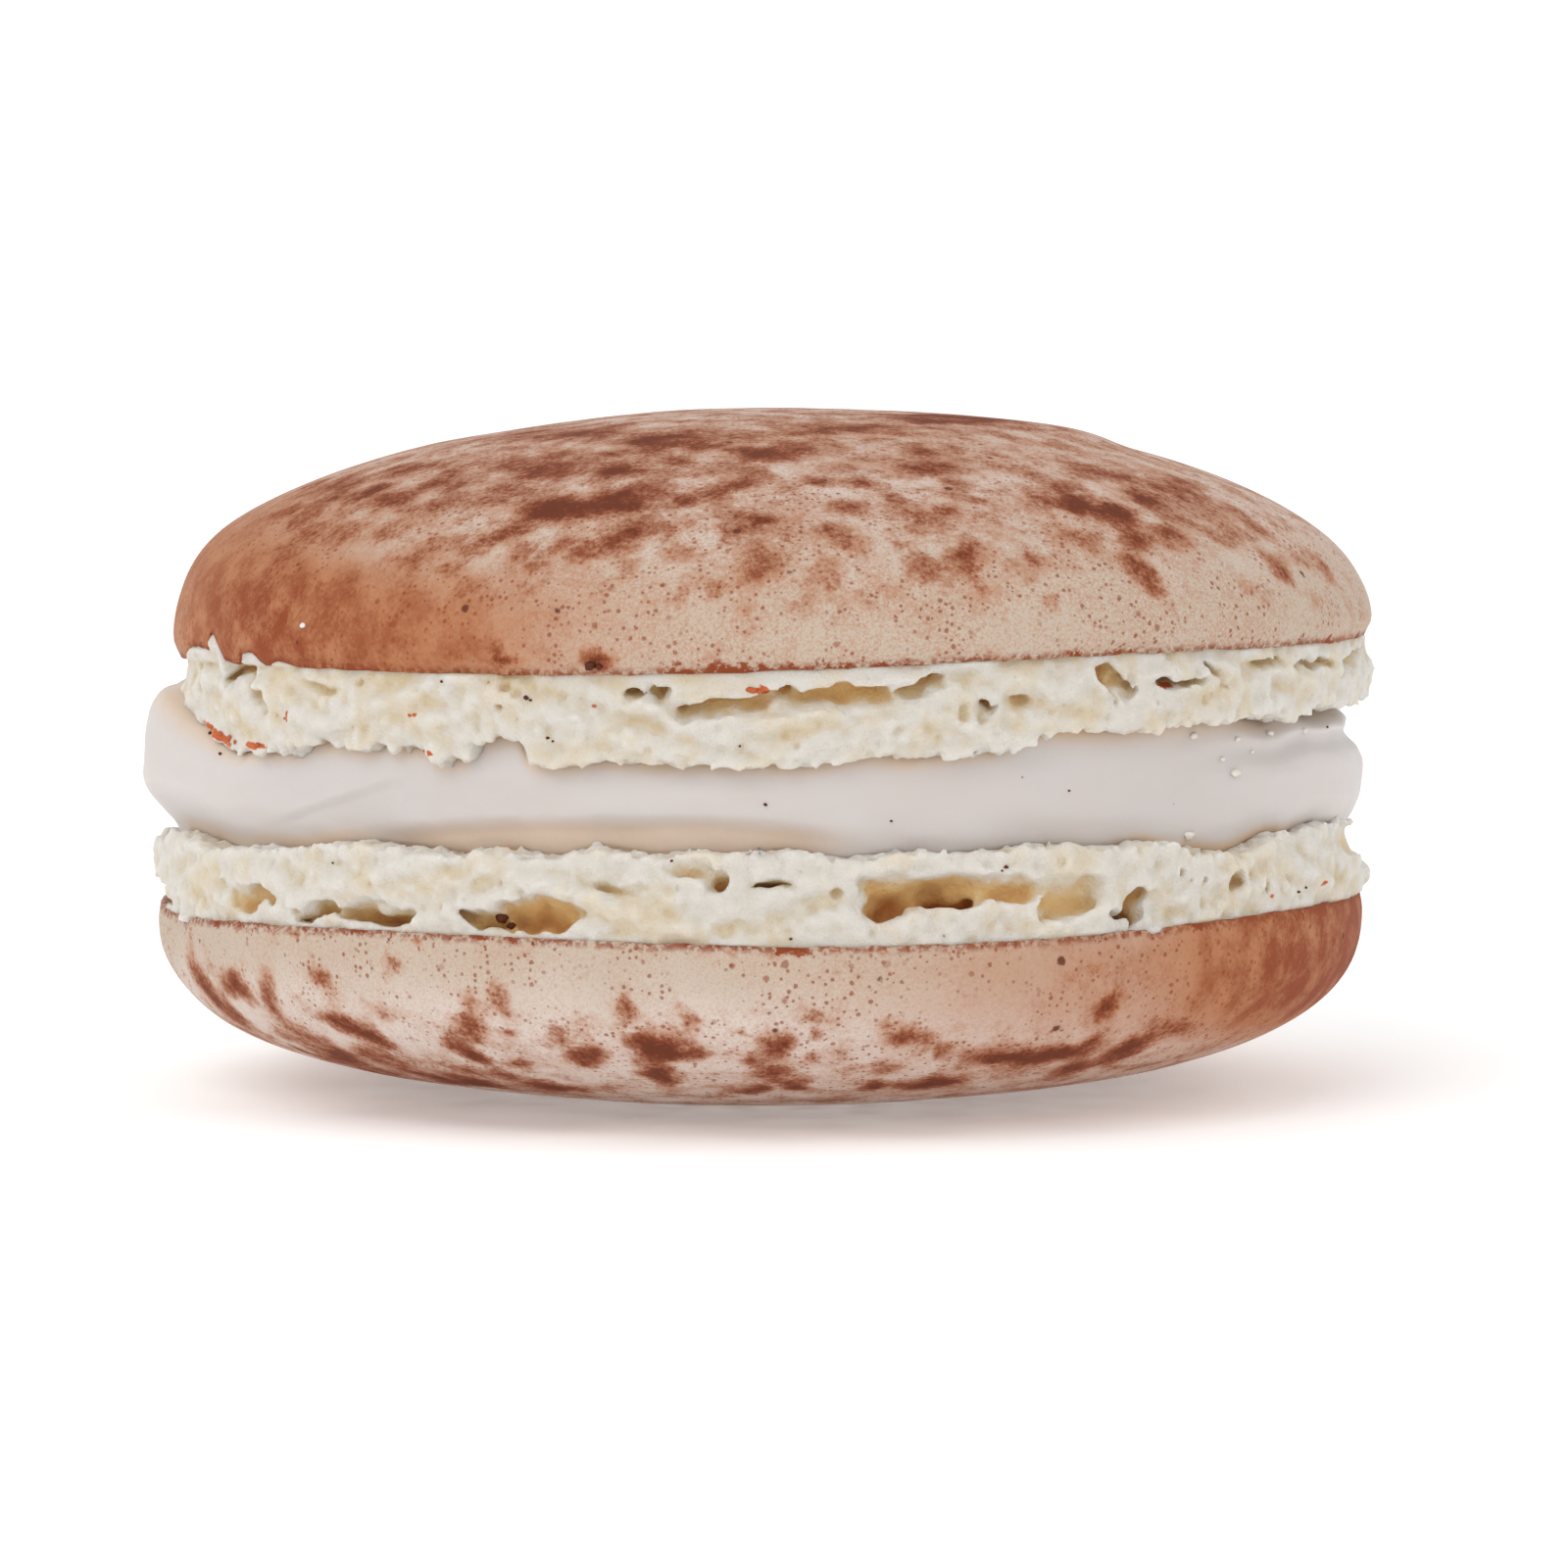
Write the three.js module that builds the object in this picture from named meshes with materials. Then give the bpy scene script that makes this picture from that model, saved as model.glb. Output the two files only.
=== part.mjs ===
// A filled macaron: a lower shell, a band of soft filling and an upper shell.
// Millimetres, +Z up. The front faces -Y. An azimuth is in degrees from the front towards +X.
import * as THREE from 'three';
import { mergeVertices } from 'three/addons/utils/BufferGeometryUtils.js';

// Each shell: a smooth cap over a crumbly foot, which the rim line parts
const UPPER = {
  axisX: 0.41,
  capRadius: 22.76,
  capHeight: 8.3,
  capFullness: 2.08,
  widestZ: 17.46,
  rimZ: 16.88,
  rimSlope: 0.021,
  rimRadius: 22.5,
  rimWave: { amount: 0.1, crest: 30 },
  footRadius: 22.45,
  edgeZ: 14.1,
  edgeSlope: 0.034,
};
const LOWER = {
  axisX: -0.06,
  capRadius: 22.92,
  capHeight: 6.95,
  capFullness: 2.59,
  widestZ: 6.86,
  rimZ: 7.32,
  rimSlope: 0.006,
  rimRadius: 22.84,
  rimWave: { amount: 0.16, crest: -32 },
  footRadius: 22.8,
  edgeZ: 10.36,
  edgeSlope: 0.004,
};
const REST_SPOT_RADIUS = 6;

// The filling between the shells, and its clear gap to each of them
const FILLING_RADIUS = 21.3;
const CLEAR_GAP = 0.3;
const UPPER_SEAT_Z = 14.75;
const LOWER_SEAT_Z = 9.95;

// How finely each solid is divided
const SHELL_SEGMENTS = 120;
const FILLING_SEGMENTS = 90;
const CAP_LEVELS = 8;
const FOOT_LEVELS = 8;

// Hollows in a foot: azimuth and half width in degrees, height and half height, depth inwards
const UPPER_HOLLOWS = [
  { azimuth: -92, half: 16, z: 15.9, rise: 0.8, depth: 0.35 },
  { azimuth: -60, half: 4, z: 16.05, rise: 0.35, depth: 0.8 },
  { azimuth: -10.5, half: 3.6, z: 15.9, rise: 0.4, depth: 1.0 },
  { azimuth: -3.6, half: 4.6, z: 15.6, rise: 0.55, depth: 1.3 },
  { azimuth: 6, half: 5.4, z: 15.85, rise: 0.6, depth: 2.0 },
  { azimuth: 13.8, half: 3, z: 16.15, rise: 0.35, depth: 1.2 },
  { azimuth: 20.9, half: 2.6, z: 15.4, rise: 0.35, depth: 0.6 },
  { azimuth: 31.8, half: 2.6, z: 16.5, rise: 0.45, depth: 1.3 },
  { azimuth: 40.5, half: 4.6, z: 16.2, rise: 0.3, depth: 0.8 },
  { azimuth: 51.7, half: 4, z: 16.5, rise: 0.3, depth: 0.6 },
  { azimuth: 76, half: 9, z: 16.5, rise: 0.3, depth: 0.5 },
];
const UPPER_FOOT_SWELLS = [
  { azimuth: 92, half: 14, z: 15.8, rise: 0.8, amount: 0.4 },
];
const LOWER_HOLLOWS = [
  { azimuth: -90, half: 9, z: 7.8, rise: 0.7, depth: 0.75 },
  { azimuth: 92, half: 24, z: 9.9, rise: 1.2, depth: 0.6 },
  { azimuth: -54.2, half: 4.6, z: 8.2, rise: 0.6, depth: 1.2 },
  { azimuth: -44.2, half: 3, z: 7.95, rise: 0.45, depth: 1.0 },
  { azimuth: -35.8, half: 4.6, z: 8.05, rise: 0.45, depth: 1.3 },
  { azimuth: -21.2, half: 6, z: 8.33, rise: 0.72, depth: 1.9 },
  { azimuth: -12.4, half: 2.8, z: 9.25, rise: 0.4, depth: 0.5 },
  { azimuth: -2.7, half: 2.6, z: 9.5, rise: 0.4, depth: 0.6 },
  { azimuth: 10.5, half: 3.4, z: 8.75, rise: 0.85, depth: 2.1 },
  { azimuth: 17.3, half: 4.2, z: 8.85, rise: 0.6, depth: 2.8 },
  { azimuth: 23, half: 3, z: 9.05, rise: 0.6, depth: 1.5 },
  { azimuth: 29.1, half: 3.6, z: 8.45, rise: 0.8, depth: 0.8 },
  { azimuth: 36.2, half: 2.4, z: 8.4, rise: 0.9, depth: 1.5 },
];
const LOWER_FOOT_SWELLS = [
  { azimuth: -88, half: 10, z: 9.2, rise: 0.8, amount: 0.2 },
  { azimuth: 92, half: 12, z: 8, rise: 0.6, amount: 0.45 },
];

// Where the foot's free edge leaves its even line: height added, over an azimuth span
const UPPER_EDGE_STEPS = [
  { azimuth: -92, half: 24, rise: 0.8, soft: 9 },
  { azimuth: -56, half: 5, rise: -0.35, soft: 5 },
  { azimuth: -41, half: 7, rise: 0.2, soft: 4 },
  { azimuth: -31, half: 1, rise: -0.5, soft: 3 },
  { azimuth: -25.5, half: 1.5, rise: 0.25, soft: 3 },
  { azimuth: -5.5, half: 15, rise: -0.55, soft: 3 },
  { azimuth: 16, half: 3, rise: -0.2, soft: 4 },
];
const LOWER_EDGE_STEPS = [
  { azimuth: -90, half: 3, rise: -0.7, soft: 7 },
  { azimuth: -59, half: 6, rise: -0.5, soft: 9 },
  { azimuth: 48, half: 4, rise: -0.45, soft: 6 },
  { azimuth: 92, half: 10, rise: -0.3, soft: 10 },
];

// Where the cap swells past its even curve, or sinks: azimuth and reach, height over the widest level and reach
const UPPER_SWELLS = [
  { azimuth: -90, half: 50, z: 3.9, reach: 2.6, amount: 0.3 },
  { azimuth: 90, half: 50, z: 3.4, reach: 2.6, amount: 0.14 },
  { azimuth: 80, half: 70, z: 7.7, reach: 0.7, amount: 1.7 },
  { azimuth: -85, half: 70, z: 7.9, reach: 0.9, amount: -0.9 },
];
const LOWER_SWELLS = [
  { azimuth: -90, half: 60, z: 5, reach: 2.4, amount: 0.3 },
];

const COLOURS = {
  cocoaDustedShell: 0xc49a80,
  lilacCreamFilling: 0xded4d2,
};

const GOLDEN = 0.618034;
const TURN = 360;

const fraction = (value) => value - Math.floor(value);

// A smooth fall from 1 to 0 as the distance goes from `from` to `to`
const fall = (distance, from, to) => 1 - THREE.MathUtils.smoothstep(distance, from, to);

const turnBetween = (a, b) => Math.abs(((a - b) % TURN + TURN * 1.5) % TURN - TURN / 2);

// An even sum of waves round the shell, as uneven as a broken crumb edge
function ripple(azimuth, height, size, seed) {
  let sum = 0;
  for (let wave = 0; wave < 5; wave++) {
    const cycles = 9 + 8 * wave + (seed + wave) % 4;
    const phase = TURN * fraction((seed + wave) * GOLDEN);
    const along = Math.sin(THREE.MathUtils.degToRad(cycles * azimuth + phase));
    sum += along * Math.cos(THREE.MathUtils.degToRad(height * (100 + 60 * wave) + 2 * phase));
  }
  return size * sum;
}

// Hollows of the same kinds on the side that faces away, spread by the golden ratio
function hiddenHollows(count, middleZ, seed) {
  const firstAzimuth = 92;
  const span = 176;
  return Array.from({ length: count }, (_, i) => ({
    azimuth: firstAzimuth + span * (i + 0.6 * fraction((i + seed) * GOLDEN)) / count,
    half: 2.8 + 3.4 * fraction((i + seed) * 0.414),
    z: middleZ + 0.45 * Math.sin((i + seed) * 2.4),
    rise: 0.4 + 0.4 * fraction((i + seed) * 0.732),
    depth: 0.8 + 1.5 * fraction((i + seed) * 0.271),
  }));
}

// How strongly a named place on the foot is felt: 1 at its middle, 0 outside
function within(place, azimuth, z, core) {
  const across = turnBetween(azimuth, place.azimuth) / place.half;
  const up = (z - place.z) / place.rise;
  return fall(Math.hypot(across, up), core, 1.15);
}

function edgeHeight(shell, steps, azimuth, seed) {
  const x = Math.sin(THREE.MathUtils.degToRad(azimuth)) * shell.footRadius;
  const steady = shell.edgeZ + shell.edgeSlope * x;
  const shaped = steps.reduce((z, step) => {
    const away = turnBetween(azimuth, step.azimuth);
    return z + step.rise * fall(away, step.half, step.half + step.soft);
  }, steady);
  return shaped + ripple(azimuth, 0, 0.07, seed);
}

function rimHeight(shell, azimuth) {
  const x = Math.sin(THREE.MathUtils.degToRad(azimuth)) * shell.rimRadius;
  const wave = shell.rimWave.amount * Math.cos(THREE.MathUtils.degToRad(4 * (azimuth - shell.rimWave.crest)));
  return shell.rimZ + shell.rimSlope * x + wave;
}

// The foot's face from its free edge to its rim, as one level between the two
function footPoint(shell, azimuth, level, edgeZ, relief) {
  const z = THREE.MathUtils.lerp(edgeZ, rimHeight(shell, azimuth), level);
  const belly = 0.12 * Math.sin(Math.PI * level) + ripple(azimuth, z, 0.1, relief.seed);
  const edgeRound = 0.22 * fall(level, 0, 0.12);
  const belowRim = THREE.MathUtils.smoothstep(1 - level, 0, 0.12);
  const hollow = Math.max(0, ...relief.hollows.map((place) => place.depth * within(place, azimuth, z, 0.35)));
  const swell = Math.max(0, ...relief.swells.map((place) => place.amount * within(place, azimuth, z, 0)));
  return { r: shell.footRadius + belly - edgeRound + (swell - hollow) * belowRim, z };
}

// The cap's superellipse, `level` 0 at its widest and 1 at its pole
function capPoint(shell, azimuth, level, side, swells) {
  const angle = level * Math.PI / 2;
  const power = 2 / shell.capFullness;
  const rise = shell.capHeight * Math.sin(angle) ** power;
  let r = shell.capRadius * Math.max(Math.cos(angle), 0) ** power;
  for (const swell of swells) {
    const away = turnBetween(azimuth, swell.azimuth);
    const up = Math.abs(rise - swell.z);
    r += swell.amount * fall(away, 0, swell.half) * fall(up, 0, swell.reach) * Math.min(1, r / 8);
  }
  return { r, z: shell.widestZ + side * rise };
}

// Turns a section into one closed skin; each row is a function of the azimuth, from pole to pole
function lathe(rows, segments, axisX) {
  const seed = rows.map((_, row) => new THREE.Vector2(row === 0 || row === rows.length - 1 ? 0 : 1, row));
  const skin = new THREE.LatheGeometry(seed, segments);
  const position = skin.attributes.position;
  for (let segment = 0; segment <= segments; segment++) {
    const azimuth = TURN * (segment % segments) / segments;
    const angle = THREE.MathUtils.degToRad(azimuth);
    rows.forEach((row, index) => {
      const { r, z } = row(azimuth);
      const at = segment * rows.length + index;
      position.setXYZ(at, axisX + r * Math.sin(angle), -r * Math.cos(angle), z);
    });
  }
  skin.deleteAttribute('normal');
  skin.deleteAttribute('uv');
  const closed = mergeVertices(skin, 1e-5);
  closed.computeVertexNormals();
  return closed;
}

const centre = (z) => () => ({ r: 0, z });

function upperShell() {
  const hollows = [...UPPER_HOLLOWS, ...hiddenHollows(13, 15.9, 3)];
  const relief = { hollows, swells: UPPER_FOOT_SWELLS, seed: 2 };
  const edge = (azimuth) => edgeHeight(UPPER, UPPER_EDGE_STEPS, azimuth, 1);
  const seat = (azimuth, r) => UPPER_SEAT_Z + UPPER.edgeSlope * r * Math.sin(THREE.MathUtils.degToRad(azimuth));
  const rows = [centre(UPPER_SEAT_Z)];
  rows.push((azimuth) => ({ r: 12, z: seat(azimuth, 12) }));
  rows.push((azimuth) => ({ r: 19.4, z: seat(azimuth, 19.4) }));
  rows.push((azimuth) => ({ r: UPPER.footRadius - 1.2, z: edge(azimuth) + 0.12 }));
  for (let level = 0; level <= FOOT_LEVELS; level++) {
    const share = level / (FOOT_LEVELS + 0.5);
    rows.push((azimuth) => footPoint(UPPER, azimuth, share, edge(azimuth), relief));
  }
  rows.push((azimuth) => ({ r: UPPER.rimRadius - 0.1, z: rimHeight(UPPER, azimuth) }));
  rows.push((azimuth) => ({ r: UPPER.rimRadius + 0.1, z: rimHeight(UPPER, azimuth) + 0.14 }));
  for (let level = 0; level < CAP_LEVELS; level++) {
    rows.push((azimuth) => capPoint(UPPER, azimuth, level / CAP_LEVELS, 1, UPPER_SWELLS));
  }
  rows.push(centre(UPPER.widestZ + UPPER.capHeight));
  return lathe(rows, SHELL_SEGMENTS, UPPER.axisX);
}

function lowerShell() {
  const hollows = [...LOWER_HOLLOWS, ...hiddenHollows(15, 8.5, 8)];
  const relief = { hollows, swells: LOWER_FOOT_SWELLS, seed: 5 };
  const edge = (azimuth) => edgeHeight(LOWER, LOWER_EDGE_STEPS, azimuth, 4);
  const rows = [centre(0), () => ({ r: REST_SPOT_RADIUS, z: 0 })];
  for (let level = CAP_LEVELS - 2; level >= 0; level--) {
    rows.push((azimuth) => capPoint(LOWER, azimuth, level / CAP_LEVELS, -1, LOWER_SWELLS));
  }
  rows.push((azimuth) => ({ r: LOWER.rimRadius + 0.06, z: rimHeight(LOWER, azimuth) - 0.14 }));
  rows.push((azimuth) => ({ r: LOWER.rimRadius - 0.1, z: rimHeight(LOWER, azimuth) }));
  for (let level = FOOT_LEVELS; level >= 0; level--) {
    const share = level / (FOOT_LEVELS + 0.5);
    rows.push((azimuth) => footPoint(LOWER, azimuth, share, edge(azimuth), relief));
  }
  rows.push((azimuth) => ({ r: LOWER.footRadius - 1.4, z: edge(azimuth) - 0.1 }));
  rows.push(() => ({ r: 19.4, z: LOWER_SEAT_Z }));
  rows.push(() => ({ r: 12, z: LOWER_SEAT_Z }));
  rows.push(centre(LOWER_SEAT_Z));
  return lathe(rows, SHELL_SEGMENTS, LOWER.axisX);
}

// How far the filling's band stands out: even in front, squeezed out at the left, in two folds at the right
function fillingReach(azimuth, level) {
  const roundness = Math.sqrt(Math.max(0, 1 - Math.abs(2 * level - 1) ** 4));
  const wander = 0.2 * Math.sin(THREE.MathUtils.degToRad(3 * azimuth + 40));
  const left = fall(turnBetween(azimuth, -94), 12, 44);
  const right = fall(turnBetween(azimuth, 88), 16, 46);
  const leftReach = 2 * left * (0.45 + 0.55 * THREE.MathUtils.smoothstep(level, 0, 0.3));
  const rightReach = right * (1.1 + 0.5 * fall(Math.abs(level - 0.36), 0.08, 0.4));
  const rightCrease = 0.25 * right * fall(Math.abs(level - 0.7), 0, 0.12);
  const frontFold = 0.35 * fall(turnBetween(azimuth, -10), 14, 26) * fall(level, 0.2, 0.45);
  const sway = wander + leftReach + rightReach - rightCrease - frontFold;
  return FILLING_RADIUS + sway - 0.9 * (1 - roundness);
}

function fillingPoint(azimuth, level) {
  const low = edgeHeight(LOWER, LOWER_EDGE_STEPS, azimuth, 4) + CLEAR_GAP;
  const high = edgeHeight(UPPER, UPPER_EDGE_STEPS, azimuth, 1) - CLEAR_GAP;
  const curl = level < 1 ? THREE.MathUtils.smoothstep(level, 0.6, 0.95) : 0;
  const lift = 1.05 * curl * fall(turnBetween(azimuth, -94), 12, 26);
  return { r: fillingReach(azimuth, level), z: THREE.MathUtils.lerp(low, high, level) + lift };
}

function filling() {
  const upperSeat = (azimuth, r) => {
    const x = r * Math.sin(THREE.MathUtils.degToRad(azimuth));
    return UPPER_SEAT_Z + UPPER.edgeSlope * x - CLEAR_GAP;
  };
  const rows = [centre(LOWER_SEAT_Z + CLEAR_GAP)];
  rows.push(() => ({ r: 18.4, z: LOWER_SEAT_Z + CLEAR_GAP }));
  for (const level of [0, 0.08, 0.2, 0.33, 0.5, 0.64, 0.72, 0.82, 0.94, 1]) {
    rows.push((azimuth) => fillingPoint(azimuth, level));
  }
  rows.push((azimuth) => ({ r: 17.6, z: upperSeat(azimuth, 17.6) }));
  rows.push(centre(UPPER_SEAT_Z - CLEAR_GAP));
  return lathe(rows, FILLING_SEGMENTS, LOWER.axisX);
}

function piece(name, geometry, color, roughness) {
  const material = new THREE.MeshStandardMaterial({ color, roughness, metalness: 0 });
  const mesh = new THREE.Mesh(geometry, material);
  mesh.name = name;
  return mesh;
}

const macaron = new THREE.Group();
macaron.add(
  piece('shell_bottom', lowerShell(), COLOURS.cocoaDustedShell, 0.75),
  piece('filling', filling(), COLOURS.lilacCreamFilling, 0.5),
  piece('shell_top', upperShell(), COLOURS.cocoaDustedShell, 0.75),
);

export default macaron;
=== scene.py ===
"""A cocoa-dusted macaron: smooth caps, crumbly feet and a squeezed band of cream, in metres.

The front faces -Y. An azimuth is in degrees from the front towards +X. Named sizes are in millimetres.
"""
import math

import bmesh
import bpy
import numpy as np
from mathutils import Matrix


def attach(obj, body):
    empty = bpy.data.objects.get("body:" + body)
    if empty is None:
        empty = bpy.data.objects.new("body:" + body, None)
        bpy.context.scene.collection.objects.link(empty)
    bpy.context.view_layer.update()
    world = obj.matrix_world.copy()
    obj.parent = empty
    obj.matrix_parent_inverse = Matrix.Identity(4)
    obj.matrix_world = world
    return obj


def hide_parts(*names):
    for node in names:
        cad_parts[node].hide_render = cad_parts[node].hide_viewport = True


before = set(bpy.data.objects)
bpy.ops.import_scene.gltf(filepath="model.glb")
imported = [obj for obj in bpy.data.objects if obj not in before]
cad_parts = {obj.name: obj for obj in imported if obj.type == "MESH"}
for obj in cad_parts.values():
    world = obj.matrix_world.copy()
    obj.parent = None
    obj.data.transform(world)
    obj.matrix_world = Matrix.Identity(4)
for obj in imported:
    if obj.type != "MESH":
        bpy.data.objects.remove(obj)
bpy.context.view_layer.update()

import openvdb
from bpy.props import EnumProperty, FloatProperty, FloatVectorProperty, IntProperty, PointerProperty
from mathutils import Euler, Matrix, Vector
from mathutils.bvhtree import BVHTree

bl_info = {
    "name": "Cocoa Macaron",
    "version": (1, 0, 0),
    "blender": (4, 5, 0),
    "location": "3D View > Sidebar > Macaron",
    "description": "Builds a filled macaron with torn crumbly feet round its packed solids",
    "category": "Add Mesh",
}

MM = 0.001
TURN = 360.0
# The golden section: its multiples give even but irregular steps
GOLDEN = 0.618034
# About how many triangles a foot is thinned to
FOOT_TRIANGLES = 190000

# The two shells, with heights over the floor. What some entries hold, in order:
# rim_wave is the height and the crest's azimuth of the four waves in the line between cap and foot.
# edge_steps of the foot's free edge: azimuth, half width, height added, softness.
# swells of the foot's face: azimuth, half width, height, half height, amount.
# leanings of the cap: azimuth, half width, height over its widest line, reach, amount.
# cream_reach is how far the cream tone runs from the rim before painted sheen pales it towards the crown.
# softness is the width of the marks' edges, mark_strength their weight, and sandy that of the fine spray.
# hidden_hollows, round the back: how many, middle height, seed.
# seeds: of the edge and cap, and of the face and crumb.
UPPER = {
    "node": "shell_top",
    "side": 1,
    "axis_x": 0.41,
    "cap_radius": 22.76,
    "cap_height": 8.3,
    "cap_fullness": 2.08,
    "widest_z": 17.46,
    "rim_z": 16.88,
    "rim_slope": 0.021,
    "rim_radius": 22.5,
    "rim_wave": (0.1, 30),
    "foot_radius": 22.45,
    "edge_z": 14.1,
    "edge_slope": 0.034,
    "edge_steps": (
        (-92, 20, 0.8, 8),
        (-58.5, 2, -0.08, 4.5),
        (-41, 7, 0.2, 4),
        (-38.6, 0.5, 0.25, 0.8),
        (-32.2, 0.2, -0.45, 1.4),
        (-30, 0.8, -0.2, 1.0),
        (-25.6, 2.4, 0.4, 0.7),
        (-4, 18.6, -0.45, 1.0),
        (-20, 3, 0.14, 6),
        (6, 8, -0.12, 8),
        (19, 3.4, -0.42, 0.8),
        (23.6, 0.4, -0.2, 0.6),
    ),
    "swells": ((92, 14, 15.8, 0.8, 0.4),),
    "leanings": (
        (-90, 50, 3.9, 2.6, 0.3),
        (90, 50, 3.4, 2.6, 0.14),
        (80, 70, 7.7, 1.0, 1.5),
        (-85, 70, 7.9, 1.0, -0.9),
    ),
    "cream_reach": 8.0,
    "softness": 1.0,
    "mark_strength": 1.7,
    "sandy": 0.5,
    "hidden_hollows": (13, 15.9, 3),
    "seeds": (1, 2),
}
LOWER = {
    "node": "shell_bottom",
    "side": -1,
    "axis_x": -0.06,
    "cap_radius": 22.92,
    "cap_height": 6.95,
    "cap_fullness": 2.59,
    "widest_z": 6.86,
    "rim_z": 7.32,
    "rim_slope": 0.006,
    "rim_radius": 22.84,
    "rim_wave": (0.16, -32),
    "foot_radius": 22.8,
    "edge_z": 10.36,
    "edge_slope": 0.004,
    "edge_steps": (
        (-90, 6, -0.9, 14),
        (-59, 6, -0.5, 9),
        (48, 4, -0.45, 6),
        (92, 10, -0.3, 10),
    ),
    "swells": ((-88, 10, 9.2, 0.8, 0.2), (92, 12, 8, 0.6, 0.45)),
    "leanings": ((-90, 60, 5.0, 2.4, 0.3),),
    "cream_reach": 3.0,
    "softness": 0.9,
    "mark_strength": 2.4,
    "sandy": 0.28,
    "hidden_hollows": (15, 8.5, 8),
    "seeds": (4, 5),
}

# Torn hollows: azimuth and half width in degrees, height and half height, depth, lean in degrees
UPPER["hollows"] = (
    (-92, 16, 15.9, 0.8, 0.3, 0),
    (-61.5, 2.2, 16.0, 0.2, 1.1, 0),
    (-59.5, 3.4, 16.15, 0.3, 0.6, 10),
    (-56.5, 2.2, 15.4, 0.3, 0.4, 40),
    (-47, 2.5, 15.9, 0.25, 0.25, 0),
    (-12.5, 1.5, 16.0, 0.24, 0.9, 0),
    (-9.6, 1.2, 15.85, 0.36, 1.0, 0),
    (-7.9, 0.7, 15.35, 0.2, 0.9, 0),
    (-5.2, 3.4, 15.5, 0.36, 0.9, 0),
    (-1.2, 2.6, 15.55, 0.42, 0.85, 0),
    (1.6, 1.1, 16.0, 0.32, 1.1, 0),
    (6.2, 5.4, 15.8, 0.5, 1.0, 0),
    (13.8, 2.2, 16.2, 0.28, 1.0, -6),
    (19.0, 0.5, 15.35, 0.34, 0.9, 0),
    (22.8, 1.7, 15.5, 0.22, 0.6, 0),
    (31.8, 2.2, 16.35, 0.52, 1.0, 38),
    (34.0, 0.9, 15.85, 0.28, 0.6, 0),
    (31.9, 0.5, 15.55, 0.12, 0.5, 0),
    (38.4, 1.7, 16.15, 0.18, 1.1, 0),
    (41.4, 1.5, 16.1, 0.15, 0.6, 0),
    (44.2, 1.6, 16.45, 0.18, 0.7, 12),
    (52.0, 3.0, 16.6, 0.2, 0.6, 0),
    (62, 5.0, 16.5, 0.16, 0.5, 0),
    (76, 8.0, 16.5, 0.26, 0.5, -8),
)
LOWER["hollows"] = (
    (-88, 14, 7.6, 0.48, 1.1, 0),
    (92, 24, 9.9, 1.2, 0.6, 0),
    (-54.4, 3.9, 8.2, 0.48, 1.0, 0),
    (-44.6, 2.5, 7.92, 0.36, 1.2, -20),
    (-36.8, 5.2, 8.05, 0.36, 1.5, 0),
    (-25.2, 2.6, 8.0, 0.3, 1.3, 12),
    (-20.2, 4.6, 8.35, 0.66, 1.5, 0),
    (-13.2, 2.0, 9.2, 0.24, 0.5, 0),
    (-6.2, 3.2, 9.9, 0.4, 0.4, 0),
    (-3.0, 1.2, 9.55, 0.34, 1.1, 0),
    (0.9, 1.5, 9.38, 0.13, 1.6, 0),
    (11.4, 3.1, 8.9, 0.8, 1.7, 0),
    (16.0, 5.2, 9.3, 0.46, 1.5, 0),
    (17.2, 3.6, 8.92, 0.46, 2.5, 0),
    (20.5, 4.5, 9.4, 0.32, 0.7, 0),
    (23.2, 2.2, 9.15, 0.5, 1.0, 0),
    (26, 4.2, 9.1, 0.3, 0.45, -8),
    (28.8, 3.4, 8.7, 0.66, 0.8, -20),
    (36.0, 1.5, 8.35, 0.76, 1.9, 12),
    (33.2, 2.0, 7.95, 0.2, 1.3, 0),
    (49.0, 0.7, 9.0, 0.36, 0.6, 0),
    (53.6, 0.6, 8.5, 0.2, 0.5, 0),
    (41.0, 0.5, 9.3, 0.14, 0.5, 0),
)
# Where the skin is torn up from the rim and crumb shows: azimuth, half width, height
UPPER["torn"] = ((-64.8, 1.3, 1.0), (-69, 4.5, 0.45), (-57.5, 1.8, 0.5), (-52, 1.5, 0.15))
LOWER["torn"] = ((-68, 0.8, 0.2), (38, 0.8, 0.15))
# Cocoa soaked into the crumb: azimuth, height, half length, half thickness, slope in degrees
UPPER["stains"] = (
    (-65.7, 13.87, 1.9, 0.24, -14),
    (-57.2, 13.6, 1.0, 0.17, 0),
    (-51, 14.75, 0.1, 0.28, 0),
    (-34.2, 15.07, 0.16, 0.14, 0),
    (-32.6, 13.72, 0.2, 0.14, 0),
    (-1.0, 16.15, 0.3, 0.2, 0),
    (38.6, 16.05, 0.7, 0.12, 4),
)
LOWER["stains"] = ((54, 8.2, 0.3, 0.12, 0), (64, 8.4, 0.3, 0.1, 20))
# Where the crumb next to the rim is smooth and hangs over the hollows: azimuth, half width, height
UPPER["lip"] = (1, 15, 0.75)
LOWER["lip"] = (-4, 12, 0.4)

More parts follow.
